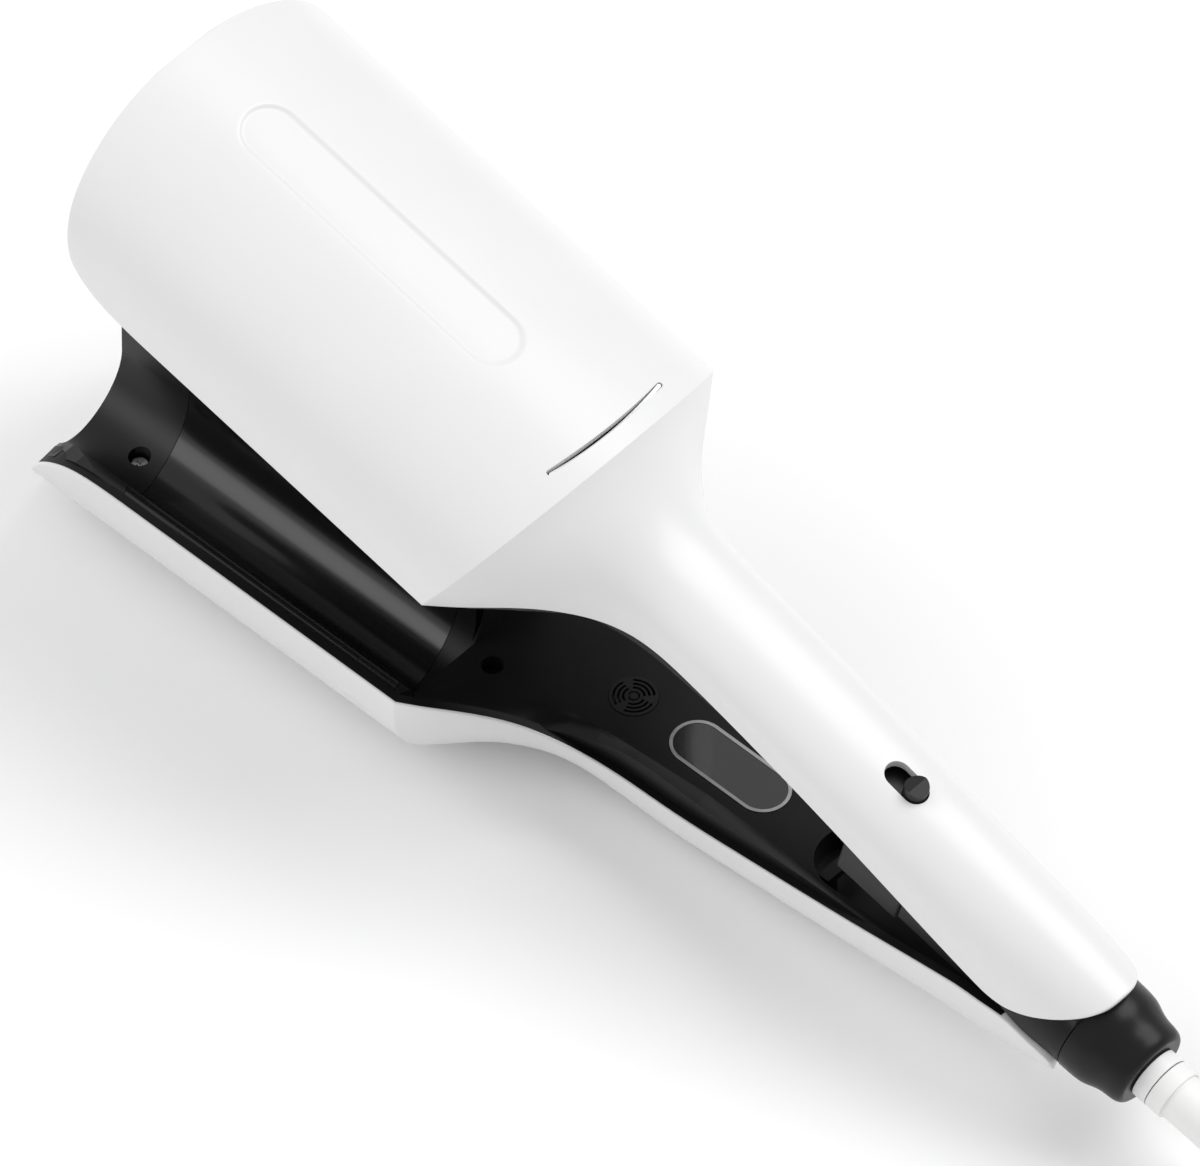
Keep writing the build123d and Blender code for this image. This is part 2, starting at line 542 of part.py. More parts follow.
# ================================================================== lock
BOSS_X0, BOSS_X1 = -62.5, -44.3
BOSS_Z = -10.8
LEG_Z = -9.6
TOOTH_TIP = -63.3        # reach of the tooth when unlocked
PLATE_Z = 14.4           # underside of the slider's plate

with BuildPart() as lock_boss:
    extrude(rect(flat(UP, BOSS_Z), BOSS_X0, BOSS_X1, -BLOCK_Y, BLOCK_Y), amount=PLATE_Z - 0.05 - BOSS_Z)
    fillet(lock_boss.edges().filter_by(Axis((0, 0, 0), tuple(UP.z_dir))), radius=1.2)
    add(upper_fill.part, mode=Mode.INTERSECT)
    extrude(rect(flat(UP, BOSS_Z + 1.0), BOSS_X0 + 1.5, BOSS_X1 - 1.5, -6.0, 6.0), amount=40, mode=Mode.SUBTRACT)
    # window in the front wall for the tooth
    extrude(rect(flat(UP, BOSS_Z + 1.0), BOSS_X0 - 2, BOSS_X0 + 2, -3.4, 3.4), amount=2.0, mode=Mode.SUBTRACT)
keep(lock_boss, "lock_boss")

with BuildPart() as lock_slider:
    extrude(rect(flat(UP, PLATE_Z), -66.0, -46.2, -4.6, 4.6), amount=1.6)
    # thumb post standing up through the slot, with a ridged top
    extrude(disc(flat(UP, PLATE_Z), -54.6, 0, 2.75), amount=8.2)
    extrude(poly(side(UP), [(-58, 21.4), (-54.6, 22.6), (-51, 21.4), (-51, 26), (-58, 26)]),
            amount=6, both=True, mode=Mode.SUBTRACT)
    # leg down inside the boss, with the locking tooth at its foot
    extrude(rect(flat(UP, LEG_Z), -55.2, -52.8, -3.0, 3.0), amount=PLATE_Z - LEG_Z)
    extrude(rect(flat(UP, LEG_Z), TOOTH_TIP, -52.8, -3.0, 3.0), amount=1.4)
keep(lock_slider, "lock_slider")

# catch bar across the front of the pocket, over the tooth when locked
with BuildPart() as lock_catch:
    extrude(rect(flat(LO, -7.6), -69.0, -66.0, -POCKET_Y + 1.2, POCKET_Y - 1.2), amount=2.0)
    extrude(rect(flat(LO, POCKET_Z), -69.0, -66.0, -POCKET_Y + 1.2, -5.5), amount=6.4)
    extrude(rect(flat(LO, POCKET_Z), -69.0, -66.0, 5.5, POCKET_Y - 1.2), amount=6.4)
keep(lock_catch, "lock_catch")

# ================================================================== hinge
with BuildPart() as hinge_block:
    extrude(poly(side(UP), [(-44.1, -9.2), (-8.0, -9.2), (-3.0, -8.0), (1.0, -6.0), (4.45, -3.0),
                            (4.45, 13.5), (-8.0, 13.5), (-44.1, 13.5)]), amount=BLOCK_Y, both=True)
    add(upper_fill.part, mode=Mode.INTERSECT)
    # room for the lower jaw's lugs and the spring
    extrude(rect(flat(UP, -20), -8.6, 9, -6.3, 6.3), amount=27.2, mode=Mode.SUBTRACT)
    # lightening pocket in front of them
    extrude(rect(flat(UP, -6.7), -41.5, -11.0, -6.3, 6.3), amount=30, mode=Mode.SUBTRACT)
    extrude(disc(side(UP, -20), 0, 0, PIN_R + 0.02), amount=-40, mode=Mode.SUBTRACT)
keep(hinge_block, "hinge_block")

# side cheeks that fill the corner between the two covers, flush with them
with BuildPart() as hinge_side_covers:
    extrude(poly(side(UP), [(-12.0, 0.2), (-3.0, -3.0), (0.4, -3.9), (4.3, -5.0), (4.3, 10.7), (1.5, 8.8),
                            (-3.5, 5.1), (-8.9, 1.4), (-12.0, 0.45)]), amount=13.2, both=True)
    extrude(poly(flat(UP, -20), [(-13.0, -13.3), (-6.0, -13.0), (4.6, -12.1), (4.6, 12.1), (-6.0, 13.0),
                                 (-13.0, 13.3)]), amount=50, mode=Mode.INTERSECT)
    extrude(rect(flat(UP, -20), -20, 9, -BLOCK_Y - 0.05, BLOCK_Y + 0.05), amount=50, mode=Mode.SUBTRACT)
keep(hinge_side_covers, "hinge_side_covers")

with BuildPart() as hinge_pin:
    extrude(disc(side(UP, -PIN_L / 2), 0, 0, PIN_R), amount=-PIN_L)
    chamfer(hinge_pin.edges().filter_by(GeomType.CIRCLE), length=0.3)
keep(hinge_pin, "hinge_pin")

# bronze bushes in the lugs, running on the pin
with BuildPart() as hinge_bushes:
    for _y in (-6.0, 3.2):
        extrude(ring(side(LO, _y + 2.8), 0, 0, 2.84, PIN_R + 0.05), amount=2.8)
keep(hinge_bushes, "hinge_bushes")

# torsion spring round the pin, between the lugs, that opens the jaws
with BuildPart() as opening_spring:
    with BuildLine() as _coil:
        Helix(5.0 / 4.5, 5.0, 3.15, center=at(LO, 0, -2.5, 0), direction=(0, 1, 0))
    with BuildSketch(Plane(origin=_coil.line @ 0, z_dir=_coil.line % 0)):
        Circle(0.45)
    sweep(path=_coil.line)
    extrude(disc(flat(LO, POCKET_Z + 0.1), (_coil.line @ 1).X - HINGE_X, (_coil.line @ 1).Y, 0.45),
            amount=(_coil.line @ 1).Z - HINGE_Z - POCKET_Z)
    extrude(disc(Plane(origin=(_coil.line @ 0) - UP.z_dir * 0.2, z_dir=UP.z_dir), 0, 0, 0.45), amount=4.0)
    print("spring ends", _coil.line @ 0, _coil.line @ 1)
keep(opening_spring, "opening_spring")

# ================================================================== tail collar and swivel
COLLAR = [(4.6, 12.2), (8.5, 12.1), (11.2, 11.7), (13.4, 10.9), (15.6, 10.35), (18.6, 10.0), (19.9, 9.4), (20.4, 8.5)]
with BuildPart() as tail_collar:
    with BuildSketch(side(UP)):
        with BuildLine():
            Spline(*COLLAR)
            Polyline(COLLAR[-1], (20.4, 4.7), (15.6, 4.7), (15.6, 9.0), (7.0, 9.0), (7.0, 4.7), (4.6, 4.7),
                     COLLAR[0])
        make_face()
    revolve(axis=Axis(tuple(at(UP, 0, 0, 0)), tuple(UP.x_dir)))
    # relief under its front, where it dips into the lower shell
    extrude(rect(flat(UP, -20), 4, 5.7, -9.5, 9.5), amount=10.5, mode=Mode.SUBTRACT)
keep(tail_collar, "tail_collar")

with BuildPart() as swivel_barrel:
    extrude(ring(cross(UP, 12.2), 0, 0, 8.6, 3.5), amount=3.0)
    extrude(ring(cross(UP, 15.2), 0, 0, 4.3, 3.5), amount=5.6)
    extrude(ring(cross(UP, 20.8), 0, 0, 6.2, 3.5), amount=3.4)
keep(swivel_barrel, "swivel_barrel")

# ================================================================== lead
RELIEF_X = 24.5          # rear end of the swivel ring, where the relief starts
RELIEF_STRAIGHT = 4.0
RELIEF_BEND = 80.0       # radius of its droop
RELIEF_SWEEP = 18.0      # degrees of droop
EXIT_PITCH = OPEN_ANGLE + RELIEF_SWEEP


def relief_frame(a):
    """Centre and direction on the relief's bent part, a degrees along it."""
    p0 = at(UP, RELIEF_X + RELIEF_STRAIGHT, 0, 0)
    t0, t1 = radians(OPEN_ANGLE), radians(OPEN_ANGLE + a)
    c = Vector(p0.X - RELIEF_BEND * sin(t0), 0, p0.Z - RELIEF_BEND * cos(t0))
    return (Vector(c.X + RELIEF_BEND * sin(t1), 0, c.Z + RELIEF_BEND * cos(t1)),
            Vector(cos(t1), 0, -sin(t1)))


def relief_section(a, r):
    p, d = relief_frame(a)
    with BuildSketch(Plane(origin=p, x_dir=(0, 1, 0), z_dir=d)) as sk:
        Circle(r)
    return sk.sketch


with BuildPart() as strain_relief:
    extrude(disc(cross(UP, 9.0), 0, 0, 5.2), amount=2.2)
    extrude(disc(cross(UP, 11.2), 0, 0, 3.2), amount=RELIEF_X - 11.2)
    extrude(disc(cross(UP, RELIEF_X), 0, 0, 6.05), amount=RELIEF_STRAIGHT)
    loft([relief_section(a, r) for a, r in ((0, 5.5), (4.5, 5.2), (9, 4.85), (13.5, 4.5), (RELIEF_SWEEP, 4.1))])
keep(strain_relief, "strain_relief")

_exit, _dir = relief_frame(RELIEF_SWEEP)
R0 = CORD_D / 2
COIL = (HINGE_X + COIL_C[0], COIL_C[1])

# first stretch: off the relief, down on to the table, and on to the coil
_p = _exit
ROUTE_A = [_p]
_pitches = [radians(EXIT_PITCH * k) for k in (1, 0.67, 0.34)]
_run = (_exit.Z - R0) / sum(sin(t) for t in _pitches)
for _t in _pitches:
    _p = _p + Vector(cos(_t), 0, -sin(_t)) * _run
    ROUTE_A.append(_p)
ROUTE_A.append(Vector(_p.X + 8.0, -0.15, R0))
ROUTE_A.append(Vector(HINGE_X + COIL_C[0] - 0.0, 0.0, R0))
print("exit", _exit, "run", _run, "on the table at x from hinge", _p.X - HINGE_X)

# last stretch: off the coil's upper layer, down beside it, to the plug
PLUG_X, PLUG_Y = HINGE_X + 33.0, 86.5
ROUTE_B = [Vector(COIL[0] - 9.0, COIL[1] + COIL_R - 0.6, R0 + 4.6), Vector(COIL[0] - 19.0, COIL[1] + COIL_R - 0.9, R0 + 2.2),
           Vector(COIL[0] - 29.0, COIL[1] + COIL_R - 1.3, R0 + 2.0), Vector(PLUG_X + 19.0, PLUG_Y, 6.85)]


def corner_radii(pts):
    """Arc radius at each corner of a route, 0.45 of the shorter run over tan(turn / 2)."""
    out = []
    for a, b, c in zip(pts, pts[1:], pts[2:]):
        u, v = b - a, c - b
        out.append(0.45 * min(u.length, v.length) / tan(radians(u.get_angle(v)) / 2))
    return out


def lead_tube(pts):
    """Round tube along a route of straight runs joined by tangent arcs."""
    radii = corner_radii(pts)
    print("radii", [round(r, 1) for r in radii], "of", CORD_D, "lead")
    with BuildLine() as path:
        FilletPolyline(*pts, radius=radii)
    with BuildPart() as tube:
        with BuildSketch(Plane(origin=path.line @ 0, z_dir=path.line % 0)):
            Circle(R0)
        sweep(path=path.line)
    length = path.wires()[0].length
    print("tube volume", tube.part.volume, "section x length", pi * R0 ** 2 * length)
    return tube.part, length


TUBE_A, LEN_A = lead_tube(ROUTE_A)
TUBE_B, LEN_B = lead_tube(ROUTE_B)
with BuildPart() as mains_lead:
    add(TUBE_A)
    add(TUBE_B)
keep(mains_lead, "mains_lead")

with BuildPart() as lead_coil:
    extrude(ring(Plane.XY, COIL[0], COIL[1], COIL_R + R0, COIL_R - CORD_D * (COIL_TURNS - 1) - R0),
            amount=2 * CORD_D)
keep(lead_coil, "lead_coil")
COIL_LEN = 2 * COIL_TURNS * 2 * pi * (COIL_R - CORD_D * (COIL_TURNS - 1) / 2)
print("lead length", LEN_A + COIL_LEN + LEN_B)

# strap that ties the coil, across it on the side away from the jaws
with BuildPart() as coil_tie:
    extrude(rect(Plane.XY, COIL[0] + 18.6, COIL[0] + 50.2, COIL[1] - 5, COIL[1] + 5), amount=2 * CORD_D + 1.3)
    extrude(rect(Plane.XY, COIL[0] + 20.0, COIL[0] + 48.8, COIL[1] - 6, COIL[1] + 6), amount=2 * CORD_D + 0.1,
            mode=Mode.SUBTRACT)
keep(coil_tie, "coil_tie")

# two-pin plug lying flat beside the coil, pins towards the jaws
PLUG = Plane(origin=(PLUG_X, PLUG_Y, 6.85), x_dir=(-1, 0, 0), z_dir=(0, 0, 1))
with BuildPart() as plug_body:
    with BuildSketch(PLUG.offset(-6.85)):
        with BuildLine():
            Polyline((0, -4.5), (7, -8.0), (20, -17.2), (31, -17.6), (31, 17.6), (20, 17.2), (7, 8.0), (0, 4.5),
                     (0, -4.5))
        make_face()
    extrude(amount=13.7)
    fillet(plug_body.edges().filter_by(Axis.Z), radius=1.6)
    fillet(plug_body.edges().group_by(Axis.Z)[-1], radius=1.8)
    fillet(plug_body.edges().group_by(Axis.Z)[0], radius=1.8)
keep(plug_body, "plug_body")

with BuildPart() as plug_relief:
    with BuildSketch(Plane(origin=(PLUG_X + 19.0, PLUG_Y, 6.85), x_dir=(0, 1, 0), z_dir=(-1, 0, 0))):
        Circle(3.9)
    with BuildSketch(Plane(origin=(PLUG_X, PLUG_Y, 6.85), x_dir=(0, 1, 0), z_dir=(-1, 0, 0))):
        Circle(4.9)
    loft()
keep(plug_relief, "plug_relief")

with BuildPart() as plug_pins:
    for _y in (-9.3, 9.3):
        with BuildSketch(Plane(origin=(PLUG_X - 31.0, PLUG_Y + _y, 6.85), x_dir=(0, 1, 0), z_dir=(-1, 0, 0))):
            Circle(2.0)
        extrude(amount=19.0)
keep(plug_pins, "plug_pins")

# ================================================================== heating
with BuildPart() as lower_heater:
    extrude(rect(flat(LO, 8.0), -238.0, -176.0, -5.5, 5.5), amount=9.8)
keep(lower_heater, "lower_heater")

with BuildPart() as upper_heaters:
    for _y in (-PITCH, PITCH):
        extrude(rect(flat(UP, -2.9), -238.0, -176.0, _y - 5.5, _y + 5.5), amount=9.8)
keep(upper_heaters, "upper_heaters")

# sprung steel clamps that press the heaters into the lobes
with BuildPart() as lower_heater_clamp:
    extrude(rect(flat(LO, 7.0), -236.0, -178.0, -7.0, 7.0), amount=1.0)
    extrude(rect(flat(LO, -6.0), -212.0, -202.0, -7.0, -6.0), amount=13.0)
    extrude(rect(flat(LO, -6.0), -212.0, -202.0, 6.0, 7.0), amount=13.0)
    extrude(rect(flat(LO, -7.0), -212.0, -202.0, -7.0, 7.0), amount=1.0)
keep(lower_heater_clamp, "lower_heater_clamp")

with BuildPart() as upper_heater_clamps:
    for _y in (-PITCH, PITCH):
        extrude(rect(flat(UP, 6.9), -236.0, -178.0, _y - 7.0, _y + 7.0), amount=1.0)
        extrude(rect(flat(UP, 7.9), -212.0, -202.0, _y - 7.0, _y - 6.0), amount=9.0)
        extrude(rect(flat(UP, 7.9), -212.0, -202.0, _y + 6.0, _y + 7.0), amount=9.0)
keep(upper_heater_clamps, "upper_heater_clamps")

with BuildPart() as lower_thermistor:
    extrude(disc(cross(LO, -192.0, -5.0), 0, 0, 1.6), amount=7.0)
keep(lower_thermistor, "lower_thermistor")

with BuildPart() as thermal_fuse:
    extrude(disc(cross(UP, -200.0, 29.0), 0, 0, 2.0), amount=12.0)
keep(thermal_fuse, "thermal_fuse")

# ================================================================== electrics
with BuildPart() as power_board:
    extrude(rect(flat(UP, 12.5), -138.0, -72.0, -8.5, 8.5), amount=1.6)
keep(power_board, "power_board")

with BuildPart() as filter_capacitor:
    extrude(rect(flat(UP, 14.1), -104.0, -88.0, -5.5, 5.5), amount=5.0)
keep(filter_capacitor, "filter_capacitor")

with BuildPart() as light_guide:
    extrude(arc_slot(flat(UP, 34.0), (-154.6, -13.6), (-153.2, 3.1), (-154.6, 19.9), 0.9), amount=4.4)
keep(light_guide, "light_guide")

with BuildPart() as control_board:
    extrude(rect(flat(LO, -9.8), -121.0, -86.0, -8.0, 8.0), amount=1.6)
keep(control_board, "control_board")

with BuildPart() as display_bezel:
    extrude(stadium(flat(LO, -6.9), PANEL_X, 0, PANEL_L, PANEL_W), amount=2.2)
    extrude(stadium(flat(LO, -6.9), PANEL_X, 0, PANEL_L - 1.6, PANEL_W - 1.6), amount=3, mode=Mode.SUBTRACT)
keep(display_bezel, "display_bezel")

with BuildPart() as display_panel:
    extrude(stadium(flat(LO, -8.2), PANEL_X, 0, PANEL_L - 1.8, PANEL_W - 1.8), amount=3.4)
keep(display_panel, "display_panel")

with BuildPart() as ion_grille:
    extrude(disc(flat(LO, -6.9), VENT_X, 0, VENT_R), amount=2.2)
    for _k in range(3):
        for _r in (2.3, 3.35, 4.4):
            _a = [radians(120 * _k + 90 + d) for d in (-42, 0, 42)]
            extrude(arc_slot(flat(LO, -8), (VENT_X + _r * cos(_a[0]), _r * sin(_a[0])),
                             (VENT_X + _r * cos(_a[1]), _r * sin(_a[1])),
                             (VENT_X + _r * cos(_a[2]), _r * sin(_a[2])), 0.55), amount=5, mode=Mode.SUBTRACT)
    extrude(ring(flat(LO, -5.3), VENT_X, 0, 1.35, 0.95), amount=2, mode=Mode.SUBTRACT)
keep(ion_grille, "ion_grille")

with BuildPart() as ion_generator:
    extrude(rect(flat(LO, -15.0), -141.0, -123.5, -6.5, 6.5), amount=7.6)
keep(ion_generator, "ion_generator")

with BuildPart() as screw_plugs:
    for _x, _y in PLUGS:
        extrude(disc(flat(LO, -13.0), _x, _y, 2.35), amount=4.0)
keep(screw_plugs, "screw_plugs")
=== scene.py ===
import json
from math import atan, atan2, cos, degrees, hypot, pi, radians, sin, sqrt, tan

import bmesh
import bpy
import numpy as np
from mathutils import Matrix, Vector


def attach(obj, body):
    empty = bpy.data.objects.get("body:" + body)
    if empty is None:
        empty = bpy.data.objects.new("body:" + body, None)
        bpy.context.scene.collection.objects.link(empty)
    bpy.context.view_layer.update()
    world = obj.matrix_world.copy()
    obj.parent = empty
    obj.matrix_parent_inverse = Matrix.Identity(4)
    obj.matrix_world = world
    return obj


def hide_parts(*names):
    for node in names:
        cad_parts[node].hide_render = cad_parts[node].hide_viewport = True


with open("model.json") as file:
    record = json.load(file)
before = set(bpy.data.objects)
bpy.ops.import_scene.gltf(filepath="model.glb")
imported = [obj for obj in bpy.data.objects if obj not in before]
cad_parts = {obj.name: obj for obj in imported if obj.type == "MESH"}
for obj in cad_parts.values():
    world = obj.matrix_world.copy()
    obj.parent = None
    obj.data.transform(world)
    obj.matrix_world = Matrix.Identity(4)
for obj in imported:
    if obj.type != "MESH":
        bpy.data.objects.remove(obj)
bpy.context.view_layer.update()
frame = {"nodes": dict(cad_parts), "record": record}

# Hair waver: the looks of the two jaws, the hinge, the lock and the lead.
# Lengths below are millimetres in the frame of the CAD part and become metres in mesh().
# The jaws are drawn in jaw frames: origin on the hinge axis, -X to the tip.

HX, HZ = 126.9, 26.5
OPEN = radians(13.0)
CO, SO = cos(OPEN), sin(OPEN)


def LO(p):
    p = np.asarray(p, float)
    return np.stack([HX + p[..., 0], p[..., 1], HZ + p[..., 2]], -1)


def UP(p):
    p = np.asarray(p, float)
    return np.stack([HX + p[..., 0] * CO + p[..., 2] * SO, p[..., 1],
                     HZ - p[..., 0] * SO + p[..., 2] * CO], -1)


# ------------------------------------------------------------------ camera, floor, light
R_AX = Vector((0.7295, 0.6840, 0.0)).normalized()
V_AX = Vector((0.4347, -0.4636, 0.7721)).normalized()
U_AX = V_AX.cross(R_AX).normalized()
CAM_D = 9.0
TARGET = Vector(((HX - 122.4) / 1000, -0.0194, 0.0838))
cam_data = bpy.data.cameras.new("camera")
cam_data.sensor_width = 36.0
cam_data.lens = 36.0 * CAM_D / 0.2548
cam_data.clip_start, cam_data.clip_end = 0.5, 60.0
cam = bpy.data.objects.new("camera", cam_data)
bpy.context.scene.collection.objects.link(cam)
m = Matrix.Identity(4)
for i in range(3):
    m[i][0], m[i][1], m[i][2] = R_AX[i], U_AX[i], V_AX[i]
    m[i][3] = (TARGET + V_AX * CAM_D)[i]
cam.matrix_world = m
bpy.context.scene.camera = cam

scene = bpy.context.scene
scene.view_settings.view_transform = "Standard"
scene.view_settings.look = "None"


# ------------------------------------------------------------------ materials
def new_material(name):
    mt = bpy.data.materials.new(name)
    mt.use_nodes = True
    nt = mt.node_tree
    nt.nodes.clear()
    out = nt.nodes.new("ShaderNodeOutputMaterial")
    bs = nt.nodes.new("ShaderNodeBsdfPrincipled")
    nt.links.new(bs.outputs[0], out.inputs[0])
    return mt, nt, bs


def noise(nt, co, scale, detail=3.0, rough=0.55):
    n = nt.nodes.new("ShaderNodeTexNoise")
    n.inputs["Scale"].default_value = scale
    n.inputs["Detail"].default_value = detail
    n.inputs["Roughness"].default_value = rough
    nt.links.new(co, n.inputs["Vector"])
    return n.outputs["Fac"]


def ramp(nt, fac, stops):
    r = nt.nodes.new("ShaderNodeValToRGB")
    el = r.color_ramp.elements
    while len(el) < len(stops):
        el.new(0.5)
    for e, (pos, col) in zip(el, stops):
        e.position = pos
        e.color = (*col, 1.0) if hasattr(col, "__len__") else (col, col, col, 1.0)
    nt.links.new(fac, r.inputs["Fac"])
    return r.outputs["Color"]


def map_range(nt, fac, a, b, c, d):
    r = nt.nodes.new("ShaderNodeMapRange")
    for k, v in zip(("From Min", "From Max", "To Min", "To Max"), (a, b, c, d)):
        r.inputs[k].default_value = v
    nt.links.new(fac, r.inputs["Value"])
    return r.outputs["Result"]


def bump(nt, bs, height, strength, distance):
    b = nt.nodes.new("ShaderNodeBump")
    b.inputs["Strength"].default_value = strength
    b.inputs["Distance"].default_value = distance
    nt.links.new(height, b.inputs["Height"])
    nt.links.new(b.outputs["Normal"], bs.inputs["Normal"])
    return b


def plastic(name, base, rough, spread=0.03, grain=2500.0, depth=0.00002, strength=0.25, coat=0.0,
            coat_rough=0.2, metallic=0.0, specular=0.5, mottle=45.0):
    """Moulded material: broad and fine colour variation, uneven gloss and a fine surface grain."""
    mt, nt, bs = new_material(name)
    co = nt.nodes.new("ShaderNodeTexCoord").outputs["Object"]
    broad = noise(nt, co, mottle, 4.0)
    fine = noise(nt, co, grain, 2.0)
    lo = tuple(max(0.0, c * (1 - spread)) for c in base)
    hi = tuple(min(1.0, c * (1 + spread)) for c in base)
    nt.links.new(ramp(nt, broad, [(0.3, lo), (0.7, hi)]), bs.inputs["Base Color"])
    nt.links.new(map_range(nt, broad, 0.3, 0.7, rough * 0.93, rough * 1.07), bs.inputs["Roughness"])
    bump(nt, bs, fine, strength, depth)
    bs.inputs["Metallic"].default_value = metallic
    bs.inputs["Specular IOR Level"].default_value = specular
    bs.inputs["Coat Weight"].default_value = coat
    bs.inputs["Coat Roughness"].default_value = coat_rough
    return mt


def metal(name, base, rough, brush=(1.0, 60.0, 60.0), scale=400.0, depth=0.00001):
    """Metal with fine drawn lines along X."""
    mt, nt, bs = new_material(name)
    co = nt.nodes.new("ShaderNodeTexCoord").outputs["Object"]
    mp = nt.nodes.new("ShaderNodeMapping")
    mp.inputs["Scale"].default_value = brush
    nt.links.new(co, mp.inputs["Vector"])
    lines = noise(nt, mp.outputs["Vector"], scale / 20, 4.0)
    nt.links.new(ramp(nt, lines, [(0.3, tuple(c * 0.9 for c in base)), (0.7, tuple(min(1, c * 1.08) for c in base))]),
                 bs.inputs["Base Color"])
    nt.links.new(map_range(nt, lines, 0.3, 0.7, rough * 0.85, rough * 1.15), bs.inputs["Roughness"])
    bump(nt, bs, lines, 0.2, depth)
    bs.inputs["Metallic"].default_value = 1.0
    return mt


M = {
    "shell": plastic("shell_white", (0.73, 0.73, 0.732), 0.34, 0.006, 1800.0, 0.000008, 0.12, 0.12, 0.22),
    "housing": plastic("housing_black", (0.0055, 0.0055, 0.0058), 0.38, 0.12, 2600.0, 0.00002, 0.3, specular=0.2),
    "cap": plastic("cap_black", (0.009, 0.009, 0.0094), 0.4, 0.12, 2600.0, 0.00002, 0.3, specular=0.35),
    "plate": plastic("plate_ceramic", (0.008, 0.008, 0.0084), 0.2, 0.15, 3500.0, 0.000004, 0.12, 0.25, 0.1, specular=0.35),
    "screw": metal("screw_zinc", (0.52, 0.52, 0.53), 0.32),
    "ceramic": plastic("heater_ceramic", (0.8, 0.78, 0.72), 0.6, 0.03),
    "spring_steel": metal("spring_steel", (0.55, 0.55, 0.56), 0.28),
    "steel": metal("ground_steel", (0.6, 0.6, 0.61), 0.2),
    "bronze": metal("sintered_bronze", (0.6, 0.42, 0.22), 0.5),
    "board": plastic("board_green", (0.04, 0.2, 0.09), 0.35, 0.12, 900.0, 0.00003, 0.3),
    "component": plastic("component_dark", (0.05, 0.05, 0.055), 0.45, 0.1),
    "light": plastic("light_diffuser", (0.84, 0.85, 0.86), 0.25, 0.02, 2500.0, 0.000006, 0.2, 0.2, 0.1),
    "boss": plastic("boss_grey", (0.018, 0.018, 0.0185), 0.42, 0.1, 2600.0, 0.00002, 0.3, specular=0.3),
    "slider": plastic("slider_grey", (0.01, 0.01, 0.0103), 0.36, 0.1, 2600.0, 0.00002, 0.3, specular=0.3),
    "collar": plastic("collar_black", (0.006, 0.006, 0.0063), 0.32, 0.1, 2600.0, 0.000015, 0.25, specular=0.22),
    "swivel": plastic("swivel_white", (0.82, 0.82, 0.818), 0.4, 0.01, 1800.0, 0.00001, 0.15),
    "lead": plastic("lead_white", (0.8, 0.8, 0.795), 0.5, 0.015, 1500.0, 0.00002, 0.25),
    "tie": plastic("tie_white", (0.78, 0.78, 0.775), 0.55, 0.02, 1500.0, 0.00003, 0.3),
    "plug": plastic("plug_white", (0.8, 0.8, 0.795), 0.42, 0.012, 1500.0, 0.00002, 0.2),
    "pins": metal("pins_nickel", (0.72, 0.71, 0.69), 0.22),
    "bezel": metal("bezel_silver", (0.42, 0.42, 0.425), 0.35),
    "display": plastic("display_glass", (0.016, 0.016, 0.0165), 0.12, 0.08, 3000.0, 0.000002, 0.05, 0.6, 0.05),
    "grille": plastic("grille_dark", (0.007, 0.007, 0.0073), 0.38, 0.1, 2600.0, 0.00002, 0.3, specular=0.25),
    "plugs": plastic("plugs_black", (0.006, 0.006, 0.0062), 0.45, 0.1, 2600.0, 0.00002, 0.3),
}

# CAD nodes that stay take the material of their own slot
SLOT_OF = {}
for row in frame["record"].get("materials", []):
    for n in row.get("nodes", []):
        SLOT_OF[n] = row["slot"]
NODE_SLOT = {
    "upper_cover": "shell", "lower_cover": "shell", "upper_inner_housing": "housing",
    "lower_inner_housing": "housing", "upper_tip_cap": "cap", "lower_tip_cap": "cap",
    "upper_wave_plate": "plate", "lower_wave_plate": "plate", "upper_cap_screws": "screw",
    "lower_cap_screws": "screw", "upper_heaters": "ceramic", "lower_heater": "ceramic",
    "upper_heater_clamps": "spring_steel", "lower_heater_clamp": "spring_steel",
    "lower_thermistor": "component", "thermal_fuse": "component", "power_board": "board",
    "control_board": "board", "filter_capacitor": "component", "ion_generator": "component",
    "light_guide": "light", "lock_boss": "boss", "lock_slider": "slider", "lock_catch": "housing",
    "hinge_block": "boss", "hinge_side_covers": "housing", "hinge_pin": "steel",
    "hinge_bushes": "bronze", "opening_spring": "spring_steel", "tail_collar": "collar",
    "swivel_barrel": "swivel", "strain_relief": "lead", "mains_lead": "lead", "lead_coil": "lead",
    "coil_tie": "tie", "plug_body": "plug", "plug_relief": "plug", "plug_pins": "pins",
    "display_bezel": "bezel", "display_panel": "display", "ion_grille": "grille",
    "screw_plugs": "plugs",
}
for n, o in frame["nodes"].items():
    s = NODE_SLOT.get(n, SLOT_OF.get(n, "housing"))
    if not o.data.materials:
        o.data.materials.append(M[s])
    for sl in o.material_slots:
        sl.link = "OBJECT"
        sl.material = M[s]

# ------------------------------------------------------------------ mesh helpers
def mesh(name, verts, faces, material, body, replaces=(), sharp=40.0, smooth=True):
    """New piece from points in millimetres of the CAD frame."""
    me = bpy.data.meshes.new(name)
    me.from_pydata([tuple(float(c) / 1000 for c in v) for v in verts], [], [tuple(int(i) for i in f) for f in faces])
    me.validate()
    me.materials.append(M[material])
    if smooth:
        for pl in me.polygons:
            pl.use_smooth = True
        me.set_sharp_from_angle(angle=radians(sharp))
    ob = bpy.data.objects.new(name, me)
    scene.collection.objects.link(ob)
    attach(ob, body)
    if replaces:
        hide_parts(*replaces)
    return ob


def resharpen(ob, sharp):
    for pl in ob.data.polygons:
        pl.use_smooth = True
    ob.data.set_sharp_from_angle(angle=radians(sharp))


